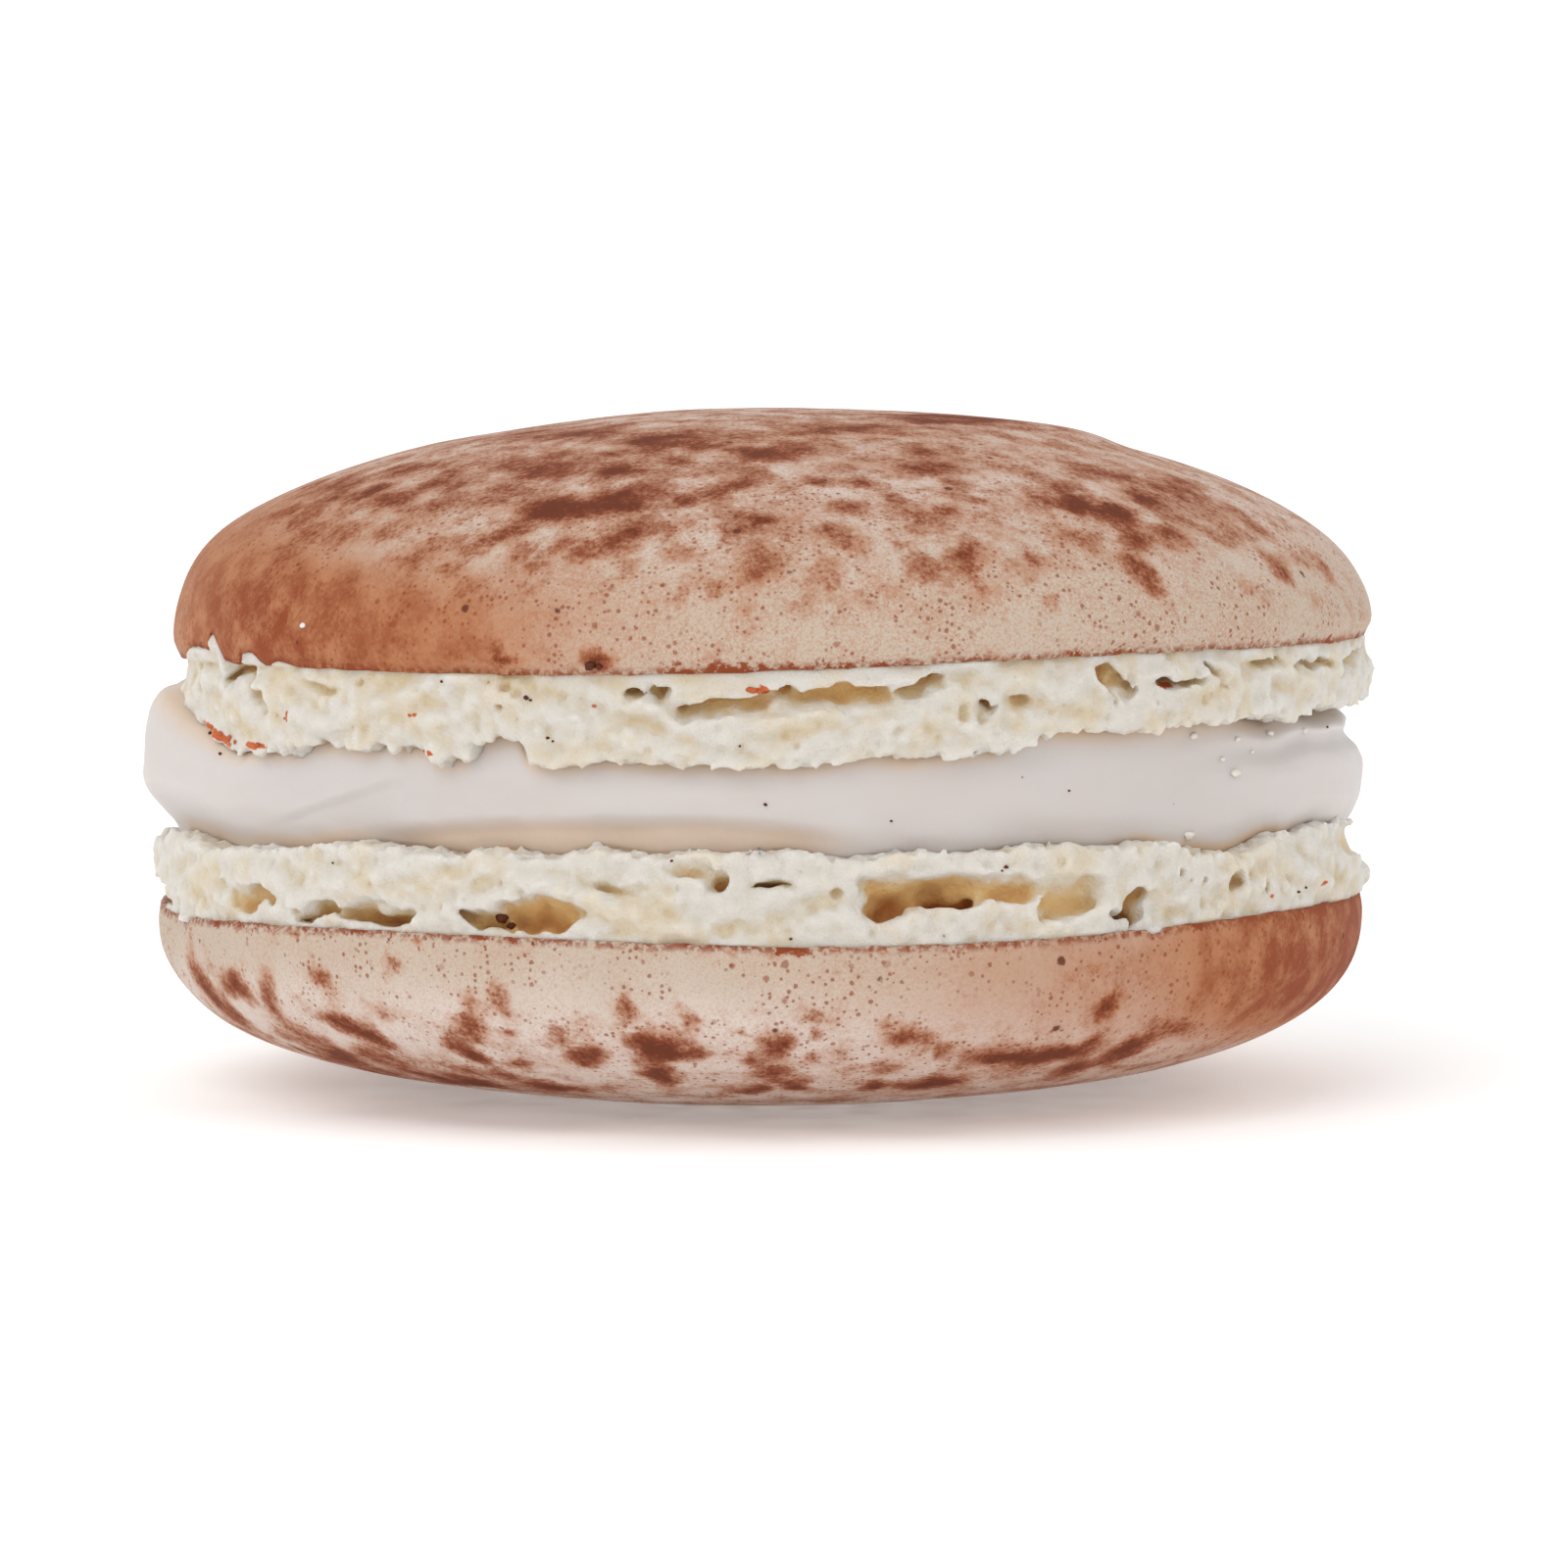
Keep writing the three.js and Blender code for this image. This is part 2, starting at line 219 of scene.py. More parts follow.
# Even brown tone of the cocoa: azimuth, half width, distance from the rim, half height, strength
UPPER["washes"] = (
    (-78, 62, 2.0, 9.0, 0.72),
    (-58, 20, 1.6, 3.6, 0.36),
    (-40, 26, 1.2, 3.6, 0.55),
    (-22, 22, 1.4, 3.6, 0.32),
    (-95, 60, 10, 12, 0.35),
    (-10, 60, 15, 9, 0.3),
    (8, 30, 2.5, 3.5, 0.12),
    (60, 70, 13, 8, 0.3),
    (180, 70, 8, 14, 0.4),
)
LOWER["washes"] = (
    (94, 54, 1.0, 6.0, 1.6),
    (60, 34, 1.8, 5.0, 0.65),
    (34, 26, 1.6, 4.0, 0.42),
    (16, 22, 1.5, 4.0, 0.25),
    (40, 60, 8, 6, 0.35),
    (-24, 4, 0.6, 0.7, 0.25),
    (180, 60, 5, 9, 0.45),
)
# Marks of heavier cocoa: azimuth, distance from the rim, half width, half height, strength
UPPER["marks"] = (
    (-26, 7.2, 1.1, 0.9, 1.0), (-22, 7.3, 1.2, 0.9, 1.05), (-18, 7.9, 1.1, 0.9, 1.0),
    (-15, 8.8, 0.9, 0.7, 0.9), (-30, 4.9, 1.0, 0.5, 0.75), (-28, 5.6, 0.7, 0.5, 0.7),
    (-31, 3.3, 0.8, 0.8, 0.6), (-37, 4.6, 1.1, 0.6, 0.5), (-25, 4.6, 0.5, 0.4, 0.55),
    (-23, 3.8, 0.6, 0.3, 0.35), (-46, 7.4, 1.6, 0.6, 0.55), (-55, 8.0, 1.8, 0.8, 0.65),
    (-65, 6.4, 2.3, 0.8, 0.6), (-51, 5.5, 2.3, 0.6, 0.55), (-44, 5.7, 0.8, 0.5, 0.45),
    (-67, 8.3, 3.2, 1.1, 0.5), (-59, 10.6, 1.8, 1.0, 0.55), (-44, 9.3, 1.3, 0.8, 0.55),
    (-35, 8.4, 1.7, 0.9, 0.45), (-33, 10.6, 1.5, 1.0, 0.65), (-40, 11.6, 1.4, 0.8, 0.55),
    (-31, 12.6, 1.2, 0.8, 0.65), (-52, 15.9, 3.2, 1.6, 0.55), (-21, 5.0, 0.4, 0.6, 0.45),
    (-19, 4.7, 0.3, 0.4, 0.45), (-56, 3.7, 0.8, 1.4, 0.4), (-19, 14.7, 1.9, 1.3, 0.95),
    (-21, 13.3, 1.0, 1.0, 0.9), (-21, 10.5, 0.8, 0.9, 0.7), (-15, 10.4, 0.9, 0.7, 0.65),
    (-14, 11.6, 0.5, 0.5, 0.65), (-1, 12.7, 1.0, 0.9, 0.9), (6, 13.4, 1.1, 1.0, 0.7),
    (13, 17.0, 2.2, 1.4, 0.65), (-7, 8.6, 0.6, 0.5, 0.85), (-5, 9.2, 0.7, 0.6, 0.95),
    (-2, 9.9, 0.6, 0.7, 0.75), (-10, 7.9, 0.6, 0.4, 0.9), (-2, 6.7, 0.8, 0.4, 1.05),
    (-2, 6.3, 1.1, 0.8, 0.55), (6, 9.6, 0.6, 0.4, 1.05), (10, 9.3, 0.5, 0.4, 0.65),
    (-15, 5.5, 1.0, 0.8, 0.85), (-16, 4.7, 0.6, 0.5, 0.6), (-9, 4.5, 0.6, 0.5, 0.65),
    (-1, 4.2, 0.5, 0.7, 0.65), (-2, 3.4, 0.4, 0.3, 0.4), (7, 5.6, 0.8, 0.8, 0.55), (5, 5.9, 0.3, 0.3, 0.5),
    (5, 3.6, 0.5, 0.7, 0.55), (-5, 2.8, 0.3, 0.4, 0.65), (-3, 2.1, 0.4, 0.3, 0.5),
    (-16, 2.9, 0.6, 0.6, 0.45), (-11, 2.8, 0.9, 0.6, 0.4), (13, 4.2, 0.6, 0.3, 0.5),
    (14, 3.7, 0.6, 0.4, 0.6), (18, 3.9, 0.5, 0.8, 0.65), (20, 4.8, 0.7, 1.0, 0.65),
    (19, 2.7, 0.7, 0.7, 0.5), (21, 11.0, 1.4, 1.1, 0.75), (25, 12.4, 0.9, 0.7, 0.6),
    (23, 9.3, 0.7, 0.4, 0.75), (19, 7.4, 0.5, 0.4, 0.8), (15, 7.1, 1.4, 0.9, 0.4), (8, 7.7, 0.7, 0.6, 0.5),
    (62, 18.5, 3.6, 2.2, 0.85), (35, 7.7, 1.0, 0.6, 1.05), (38, 7.1, 0.9, 0.6, 0.85),
    (39, 6.3, 0.7, 0.8, 0.75), (39, 5.3, 0.6, 0.8, 0.7), (37, 3.8, 0.5, 0.7, 0.85),
    (37, 2.8, 0.4, 0.5, 0.65), (44, 5.1, 1.0, 0.5, 0.75), (48, 7.9, 0.8, 0.7, 0.85),
    (57, 8.9, 1.5, 0.8, 0.65), (48, 10.0, 1.6, 0.7, 0.75), (26, 2.4, 0.3, 0.4, 0.9),
    (25, 4.1, 0.8, 0.5, 0.6), (32, 5.5, 0.6, 0.3, 0.45), (24, 7.8, 0.5, 0.3, 0.55),
    (53, 7.3, 1.7, 0.9, 0.65), (58, 3.5, 0.7, 0.7, 0.6), (66, 3.6, 1.1, 0.9, 0.55),
    (61, 2.2, 0.5, 0.4, 0.35), (49, 2.6, 0.7, 0.3, 0.35), (49, 5.9, 1.1, 0.7, 0.4),
    (54, 5.3, 1.3, 0.7, 0.4), (38, 8.9, 0.9, 0.4, 0.55), (58, 6.8, 1.4, 0.8, 0.55),
    (60, 5.0, 1.3, 0.8, 0.45), (-25, 0.5, 0.3, 0.5, 1.4), (-24, 0.25, 0.7, 0.25, 1.3),
    (-15.4, 0.35, 0.45, 0.4, 1.7), (62, 0.3, 1.0, 0.2, 0.8), (69, 0.4, 0.8, 0.2, 0.8),
    (75, 0.3, 0.5, 0.2, 0.8), (33, 0.15, 0.5, 0.15, 0.8), (23.5, 0.2, 0.4, 0.2, 0.7),
    (21, 0.2, 0.3, 0.15, 0.7), (-46, 0.15, 1.6, 0.2, 0.7), (-38, 0.1, 1.2, 0.15, 0.6),
)
LOWER["marks"] = (
    (-52, 2.3, 0.5, 0.6, 0.6), (-53, 3.3, 0.5, 0.8, 0.75), (-58, 2.4, 0.9, 0.7, 0.75),
    (-67, 2.8, 0.8, 1.2, 0.5), (-65, 3.8, 1.1, 2.3, 0.55), (-43, 3.6, 0.8, 0.6, 0.75),
    (-41, 4.2, 0.8, 0.7, 0.8), (-43, 6.2, 0.9, 1.1, 0.85), (-36, 3.1, 0.6, 0.4, 0.4),
    (-28, 3.6, 0.6, 0.6, 0.85), (-27, 2.5, 0.5, 0.7, 0.6), (-30, 4.4, 0.5, 0.6, 0.75),
    (-29, 5.3, 0.4, 0.5, 0.8), (-24, 2.1, 0.4, 0.5, 0.45), (-24, 3.6, 0.25, 0.2, 0.85),
    (-17, 4.8, 0.5, 0.7, 0.9), (-16, 2.8, 0.2, 0.3, 0.4), (-19, 3.7, 0.3, 0.4, 0.55),
    (-25, 5.8, 0.4, 0.3, 0.8), (-32, 7.0, 0.7, 0.6, 0.65), (-28, 7.2, 0.6, 0.6, 0.65),
    (-25, 8.6, 0.9, 0.9, 0.8), (-38, 8.8, 2.2, 1.4, 0.7), (-34, 1.2, 0.4, 0.2, 0.4),
    (-44, 1.7, 0.5, 0.3, 0.4), (-52, 6.3, 1.1, 2.2, 0.55), (-54, 7.4, 1.7, 1.9, 0.55),
    (-10, 4.4, 0.9, 0.8, 1.15), (-11, 6.1, 0.7, 0.9, 1.15), (-12, 3.9, 0.4, 0.3, 0.8),
    (-12, 2.4, 0.4, 0.8, 0.45), (-6, 2.9, 0.4, 0.4, 0.7), (-7, 2.2, 0.3, 0.3, 0.4),
    (1, 4.1, 0.6, 0.7, 0.85), (1, 5.9, 0.6, 0.8, 0.65), (-1, 4.9, 0.3, 0.4, 0.7), (-6, 4.5, 0.3, 0.3, 0.6),
    (-2, 3.3, 0.3, 0.2, 0.55), (4, 2.8, 0.6, 0.3, 0.4), (5, 3.6, 0.3, 0.3, 0.5), (5, 4.7, 0.2, 0.3, 0.5),
    (13, 3.6, 0.5, 0.4, 0.7), (11, 3.0, 0.4, 0.4, 0.45), (13, 7.7, 0.5, 0.8, 0.85),
    (18, 8.0, 0.8, 0.9, 0.8), (20, 7.4, 0.8, 0.8, 0.8), (4, 7.6, 0.4, 1.0, 0.8), (-1, 8.4, 0.6, 0.7, 0.75),
    (13, 5.8, 0.5, 0.6, 0.5), (15, 3.7, 0.4, 0.4, 0.5), (18, 4.7, 0.4, 0.5, 0.55), (22, 4.7, 1.0, 0.6, 0.5),
    (26, 5.2, 1.1, 0.6, 1.0), (31, 5.1, 1.1, 0.7, 0.9), (35, 6.8, 0.7, 0.7, 0.8), (39, 5.5, 0.8, 0.8, 0.65),
    (40, 4.7, 0.8, 0.7, 0.7), (33, 2.6, 0.4, 0.5, 0.65), (31, 1.2, 0.5, 0.3, 0.4),
    (43, 3.8, 0.8, 0.6, 0.45), (-67, 0.2, 0.5, 0.15, 0.8), (-60, 0.15, 0.3, 0.15, 0.8),
    (-56, 0.2, 0.5, 0.15, 0.8), (-47, 0.2, 0.4, 0.15, 0.8), (-32, 0.2, 0.2, 0.15, 0.7),
    (2.6, 0.15, 0.3, 0.2, 0.9), (1.2, 0.4, 0.15, 0.15, 0.8), (6.6, 0.2, 0.15, 0.15, 0.8),
    (10.7, 0.2, 0.2, 0.25, 0.8), (15, 0.15, 0.4, 0.15, 0.7), (-2.5, 0.3, 0.2, 0.15, 0.6),
)
# How thickly cocoa mottles each cap: distance from the rim and amount. Places with more or less of it:
# azimuth, distance from the rim as for the washes, half width, half height, amount
UPPER["mottle"] = ((0, -0.35), (2, -0.2), (3.5, 0.0), (5, 0.15), (7, 0.35), (12, 0.5), (25, 0.6))
UPPER["mottle_places"] = (
    (-30, 30, 9, 6, 0.2),
    (40, 22, 7, 4, 0.2),
    (4, 16, 5, 3, 0.12),
    (70, 25, 4, 4, -0.1),
    (8, 14, 8, 2, -0.1),
    (-70, 30, 4, 4, -0.1),
)
LOWER["mottle"] = ((0, -0.5), (2, -0.3), (3, -0.1), (5, 0.15), (8, 0.35), (12, 0.45), (25, 0.4))
LOWER["mottle_places"] = ((-60, 30, 4, 3, 0.1), (28, 16, 5, 3, 0.15), (-6, 10, 5, 3, -0.1))
SHELLS = {"UPPER": UPPER, "LOWER": LOWER}
SHELL_CHOICES = [
    ("UPPER", "Upper", "The shell above the filling"),
    ("LOWER", "Lower", "The shell below it"),
]

# Crumb: how far its grid stands proud of the foot's radius and reaches in, and where its smooth core begins
GRID_PROUD = 0.9
GRID_DEEP = 3.6
GRID_SPARE = 0.5
CORE_DEPTH = 2.1
# Bits added to the crumb or taken out: number, sizes, share of the size sunk in, lumps or bubbles, span
LUMPS = (160, (0.1, 0.28), (0.2, 0.7), True, (0.05, 0.98))
BUBBLES = (230, (0.08, 0.26), (-0.5, 0.1), False, (0.05, 0.95))
EDGE_LUMPS = (150, (0.08, 0.2), (0.6, 2.5), True, (0.97, 1.0))
# Reaches over which the crumb's crowding is measured; the material paints shade into pits by it
CROWDING_REACHES = (0.35, 0.9)

# Caps: rows from rim to crown, how the skin tucks under at the rim (inwards and up), the most wash stored
CAP_ROWS = 96
CAP_TUCKS = ((0.16, -0.04), (0.45, 0.05), (1.6, 0.3))
MOST_WASH = 1.3

# The filling: rows from edge to edge and how far it sinks behind the feet, the discs inside the shells that
# close it, its lobe at the left, its two folds at the right, and its crease and low ledge in front
FILLING_ROWS = 64
FILLING_SUNK = 0.35
FILLING_RADIUS = 21.55
FILLING_SEAT_RADIUS = 18.4
UPPER_SEAT_Z = 14.75
LOWER_SEAT_Z = 9.95
LOBE_AZIMUTH = -94
LOBE_REACH = 1.8
LOBE_LIFT = 1.05
FOLDS_AZIMUTH = 88
FOLDS_REACH = 1.1
LOW_FOLD_REACH = 0.42
FOLDS_TOP_DROP = 0.9
FOLDS_GROOVE = 0.25
CREASE_Z = 11.9
CREASE_DEPTH = 0.16
LEDGE_Z = 10.9
LEDGE_DEPTH = 0.25

# Loose bits: what they lie on, azimuth, height, radius. Each is dropped inwards from outside the macaron
OUTSIDE_RADIUS = 30.0
COCOA_GRAINS = (
    ("filling_cream", -68.7, 15.04, 0.17), ("filling_cream", -67.8, 13.82, 0.07),
    ("filling_cream", -64.5, 13.14, 0.07), ("filling_cream", 0.3, 12.12, 0.07),
    ("foot_lower", -24.4, 8.1, 0.21), ("foot_lower", -23.7, 7.72, 0.16), ("foot_upper", -21.6, 15.81, 0.1),
    ("foot_upper", -21.2, 15.72, 0.06), ("foot_upper", -19.6, 14.41, 0.07),
    ("foot_upper", -19.1, 14.3, 0.05), ("foot_upper", -30.2, 16.3, 0.06), ("foot_lower", -8, 10.2, 0.06),
    ("foot_lower", 22.1, 9.87, 0.08), ("foot_lower", 21.7, 9.75, 0.05), ("foot_lower", 58.7, 8.24, 0.07),
    ("foot_lower", 60.4, 8.35, 0.06), ("cap_upper", -15.4, 17.0, 0.2), ("cap_upper", -14.6, 16.95, 0.13),
    ("foot_upper", -2, 14.2, 0.05), ("foot_lower", -42, 9.7, 0.05), ("foot_lower", 2.5, 7.5, 0.06),
    ("filling_cream", 30, 12.4, 0.05), ("filling_cream", 12, 11.5, 0.05), ("filling_cream", 70, 14.0, 0.06),
)
COCOA_FLAKES = (
    ("foot_upper", -62.4, 13.75, 0.16), ("foot_upper", -64.2, 13.9, 0.12),
    ("foot_upper", -55.8, 13.65, 0.12), ("foot_upper", -32.4, 13.8, 0.07),
    ("foot_upper", -0.9, 16.15, 0.15), ("foot_upper", -33.9, 15.06, 0.07),
    ("foot_upper", -50.7, 14.7, 0.06), ("foot_upper", -15.2, 15.55, 0.07), ("foot_upper", -61, 13.65, 0.1),
)
WHITE_CRUMBS = (
    ("filling_cream", 46.2, 14.1, 0.16), ("filling_cream", 51.6, 12.7, 0.2),
    ("filling_cream", 52.4, 13.9, 0.12), ("filling_cream", 58.4, 14.0, 0.15),
    ("filling_cream", 45.3, 10.55, 0.2), ("filling_cream", 50.2, 13.2, 0.12),
    ("filling_cream", 64, 14.0, 0.13), ("cap_upper", -47.2, 18.1, 0.13), ("filling_cream", 55, 13.4, 0.08),
)

# The stage, in metres but for the sensor and the camera's aim, which are in millimetres
FLOOR_RADIUS = 0.7
FLOOR_BEND = 0.3
FLOOR_BEND_STEPS = 8
LIGHT_SIZE = 0.4
KEY_PLACE = (-0.20, -0.40, 0.34)
FILL_PLACE = (0.40, -0.20, 0.22)
LIGHT_TARGET = (0, 0, 0.012)
SENSOR_WIDTH = 36
NEAREST_SEEN = 0.01
AIM_RIGHT = 0.9
AIM_Z = 11.4


def tone(red, green, blue):
    """A screen colour of 0 to 255 as the linear colour that the materials work in."""
    return tuple(((part / 255 + 0.055) / 1.055) ** 2.4 for part in (red, green, blue))


class MacaronSizes(bpy.types.PropertyGroup):
    """Fineness and roughness of the macaron's pieces"""

    crumb_cells: IntProperty(
        name="Crumb Cells", description="Cells round a foot's crumb; fewer are coarser and quicker",
        default=1240, min=300, max=1300)
    crumb_roughness: FloatProperty(
        name="Crumb Roughness", description="Height of the crumb's lumps, against the real ones",
        default=1.0, min=0.0, max=2.0, subtype="FACTOR")
    cap_turns: IntProperty(
        name="Cap Turns", description="Faces round a cap", default=440, min=64, max=700)
    filling_turns: IntProperty(
        name="Filling Turns", description="Faces round the filling", default=520, min=64, max=900)


class MacaronColours(bpy.types.PropertyGroup):
    """Colours of the macaron"""

    cream: FloatVectorProperty(
        name="Cream", description="Bare skin near the rims", subtype="COLOR", default=tone(190, 175, 159))
    # Painted sheen: the skin is made lighter over the crowns than near the rims
    pale: FloatVectorProperty(
        name="Pale", description="Bare skin over the crowns", subtype="COLOR", default=tone(212, 200, 191))
    wash: FloatVectorProperty(
        name="Cocoa Wash", description="Skin evenly tinted by cocoa", subtype="COLOR",
        default=tone(175, 118, 82))
    cocoa: FloatVectorProperty(
        name="Cocoa", description="Marks of cocoa powder", subtype="COLOR", default=tone(137, 66, 35))
    deep: FloatVectorProperty(
        name="Deep Cocoa", description="Thickest cocoa", subtype="COLOR", default=tone(92, 41, 24))
    crumb: FloatVectorProperty(
        name="Crumb", description="Torn crumb of the feet", subtype="COLOR", default=tone(207, 202, 194))
    # The next three colours paint warm shade into the crumb's pits and hollows; the first also tints random
    # yellow patches
    yellow_and_pit_shade: FloatVectorProperty(
        name="Hollow", description="Crumb in shallow pits", subtype="COLOR", default=tone(204, 180, 134))
    cave_shade: FloatVectorProperty(
        name="Cave", description="Crumb deep in the hollows", subtype="COLOR", default=tone(223, 185, 126))
    deep_hollow_shade: FloatVectorProperty(
        name="Burnt", description="Crumb at the bottom of the deepest hollows", subtype="COLOR",
        default=tone(178, 108, 54))
    # Painted warm shade on the cream in its low fold, where it meets the feet and under the upper skirt; also
    # a faint random tone
    beige_tone_and_shade: FloatVectorProperty(
        name="Beige", description="Cream in the filling's fold", subtype="COLOR", default=tone(212, 184, 154))
    filling: FloatVectorProperty(
        name="Filling", description="Cream between the shells", subtype="COLOR", default=tone(202, 195, 192))
    white: FloatVectorProperty(
        name="White", description="Loose crumbs on the filling", subtype="COLOR", default=tone(236, 230, 220))
    flake: FloatVectorProperty(
        name="Flake", description="Reddish flakes of dried cocoa", subtype="COLOR", default=tone(184, 92, 52))


class MacaronStage(bpy.types.PropertyGroup):
    """Camera and light"""

    distance: FloatProperty(
        name="Camera Distance", description="From the camera to the macaron's axis",
        default=0.25, min=0.1, unit="LENGTH")
    camera_height: FloatProperty(
        name="Camera Height", description="Of the camera over the floor", default=0.0279, unit="LENGTH")
    lens: FloatProperty(
        name="Lens", description="Focal length in millimetres", default=150.5, min=20, unit="CAMERA")
    key_light: FloatProperty(
        name="Key Light", description="Power of the large light at the upper left",
        default=0.85, min=0, unit="POWER")
    fill_light: FloatProperty(
        name="Fill Light", description="Power of the large light at the right",
        default=0.1, min=0, unit="POWER")
    surround: FloatProperty(
        name="Surround", description="Strength of the white light from all round", default=0.82, min=0)


def ease(share):
    """A share from 0 to 1, made smooth at both ends."""
    return share * share * (3 - 2 * share)


def fall(distance, start, end):
    """Smooth fall from 1 to 0 as the distance goes from start to end."""
    return 1 - ease(np.clip((np.asarray(distance, float) - start) / (end - start), 0, 1))


def join(first, second, blend):
    """The greater of two distances, eased where they are alike."""
    share = np.clip(0.5 + 0.5 * (first - second) / blend, 0, 1)
    return second + (first - second) * share + blend * share * (1 - share)


def turn_from(middle, azimuth):
    """Signed angle from one azimuth to another, whichever way round is shorter."""
    return (azimuth - middle + 1.5 * TURN) % TURN - TURN / 2


def turn_between(first, second):
    """Angle between two azimuths, whichever way round is shorter."""
    return np.abs(turn_from(second, first))


def ripple(azimuth, height, size, seed):
    """The solids' own uneven waves round a shell."""
    total = 0.0
    for wave in range(5):
        cycles = 9 + 8 * wave + (seed + wave) % 4
        phase = TURN * ((seed + wave) * GOLDEN % 1)
        along = np.sin(np.radians(cycles * azimuth + phase))
        total = total + along * np.cos(np.radians(height * (100 + 60 * wave) + 2 * phase))
    return size * total


def rim_height(shell, azimuth):
    """Height of the line where a cap meets its foot."""
    amount, crest = shell["rim_wave"]
    x = np.sin(np.radians(azimuth)) * shell["rim_radius"]
    return shell["rim_z"] + shell["rim_slope"] * x + amount * np.cos(np.radians(4 * (azimuth - crest)))


def edge_height(shell, azimuth):
    """Height of a foot's free edge, which rests on the filling."""
    x = np.sin(np.radians(azimuth)) * shell["foot_radius"]
    height = shell["edge_z"] + shell["edge_slope"] * x
    for middle, half, rise, soft in shell["edge_steps"]:
        height = height + rise * fall(turn_between(azimuth, middle), half, half + soft)
    return height + ripple(azimuth, 0, 0.07, shell["seeds"][0])


def torn_height(shell, azimuth):
    """How far the cap's skin is torn away above its rim."""
    height = 0.0 * np.asarray(azimuth)
    for middle, half, rise in shell["torn"]:
        height = np.maximum(height, rise * fall(turn_between(azimuth, middle), 0.4 * half, 1.5 * half))
    return height


def skin_radius(shell, rise):
    """Radius of a cap at a height over its rim, measured away from the foot."""
    to_widest = abs(shell["widest_z"] - shell["rim_z"])
    low = shell["rim_radius"] + (shell["cap_radius"] - shell["rim_radius"]) * np.clip(rise / to_widest, 0, 1)
    above = np.clip((rise - to_widest) / shell["cap_height"], 0, 1)
    power = shell["cap_fullness"]
    return np.where(rise < to_widest, low, shell["cap_radius"] * (1 - above ** power) ** (1 / power))


def hidden_hollows(count, middle_z, seed):
    """Hollows of the same kinds round the side that faces away."""
    hollows = []
    for i in range(count):
        hollows.append((
            92 + 176 * (i + 0.6 * ((i + seed) * GOLDEN % 1)) / count,
            2.2 + 3.0 * ((i + seed) * 0.414 % 1),
            middle_z + 0.45 * math.sin((i + seed) * 2.4),
            0.25 + 0.3 * ((i + seed) * 0.732 % 1),
            0.9 + 1.6 * ((i + seed) * 0.271 % 1),
            30 * math.sin(i * 1.7),
        ))
    return hollows


def ring_point(axis_x, azimuth, radius, height):
    """Points in metres from an azimuth, a radius about an axis and a height, all in arrays."""
    angle = np.radians(azimuth)
    x = axis_x + radius * np.sin(angle)
    return np.stack([x, -radius * np.cos(angle), height + 0 * x], axis=-1) * MM


def blend_lattice(values, places, wrap):
    """Values between the points of a lattice, along one axis after another, eased at each point."""
    for axis, place in enumerate(places):
        low = np.floor(place).astype(int)
        share = ease((place - low).astype(np.float32))
        share = share.reshape([-1 if i == axis else 1 for i in range(values.ndim)])
        high = low + 1
        if axis < wrap:
            low, high = low % values.shape[axis], high % values.shape[axis]
        values = values.take(low, axis) * (1 - share) + values.take(high, axis) * share
    return values


def noise_at(random, points, size):
    """Smooth random numbers from -1 to 1 at points in millimetres, with bumps of a given size."""
    many = 64
    lattice = random.uniform(-1, 1, (many, many, many))
    place = points / size + many
    low = np.floor(place).astype(int)
    share = ease(place - low)
    total = 0.0
    for corner in np.ndindex(2, 2, 2):
        weight = np.prod(np.where(corner, share, 1 - share), axis=1)
        total = total + weight * lattice[tuple(((low + corner) % many).T)]
    return total


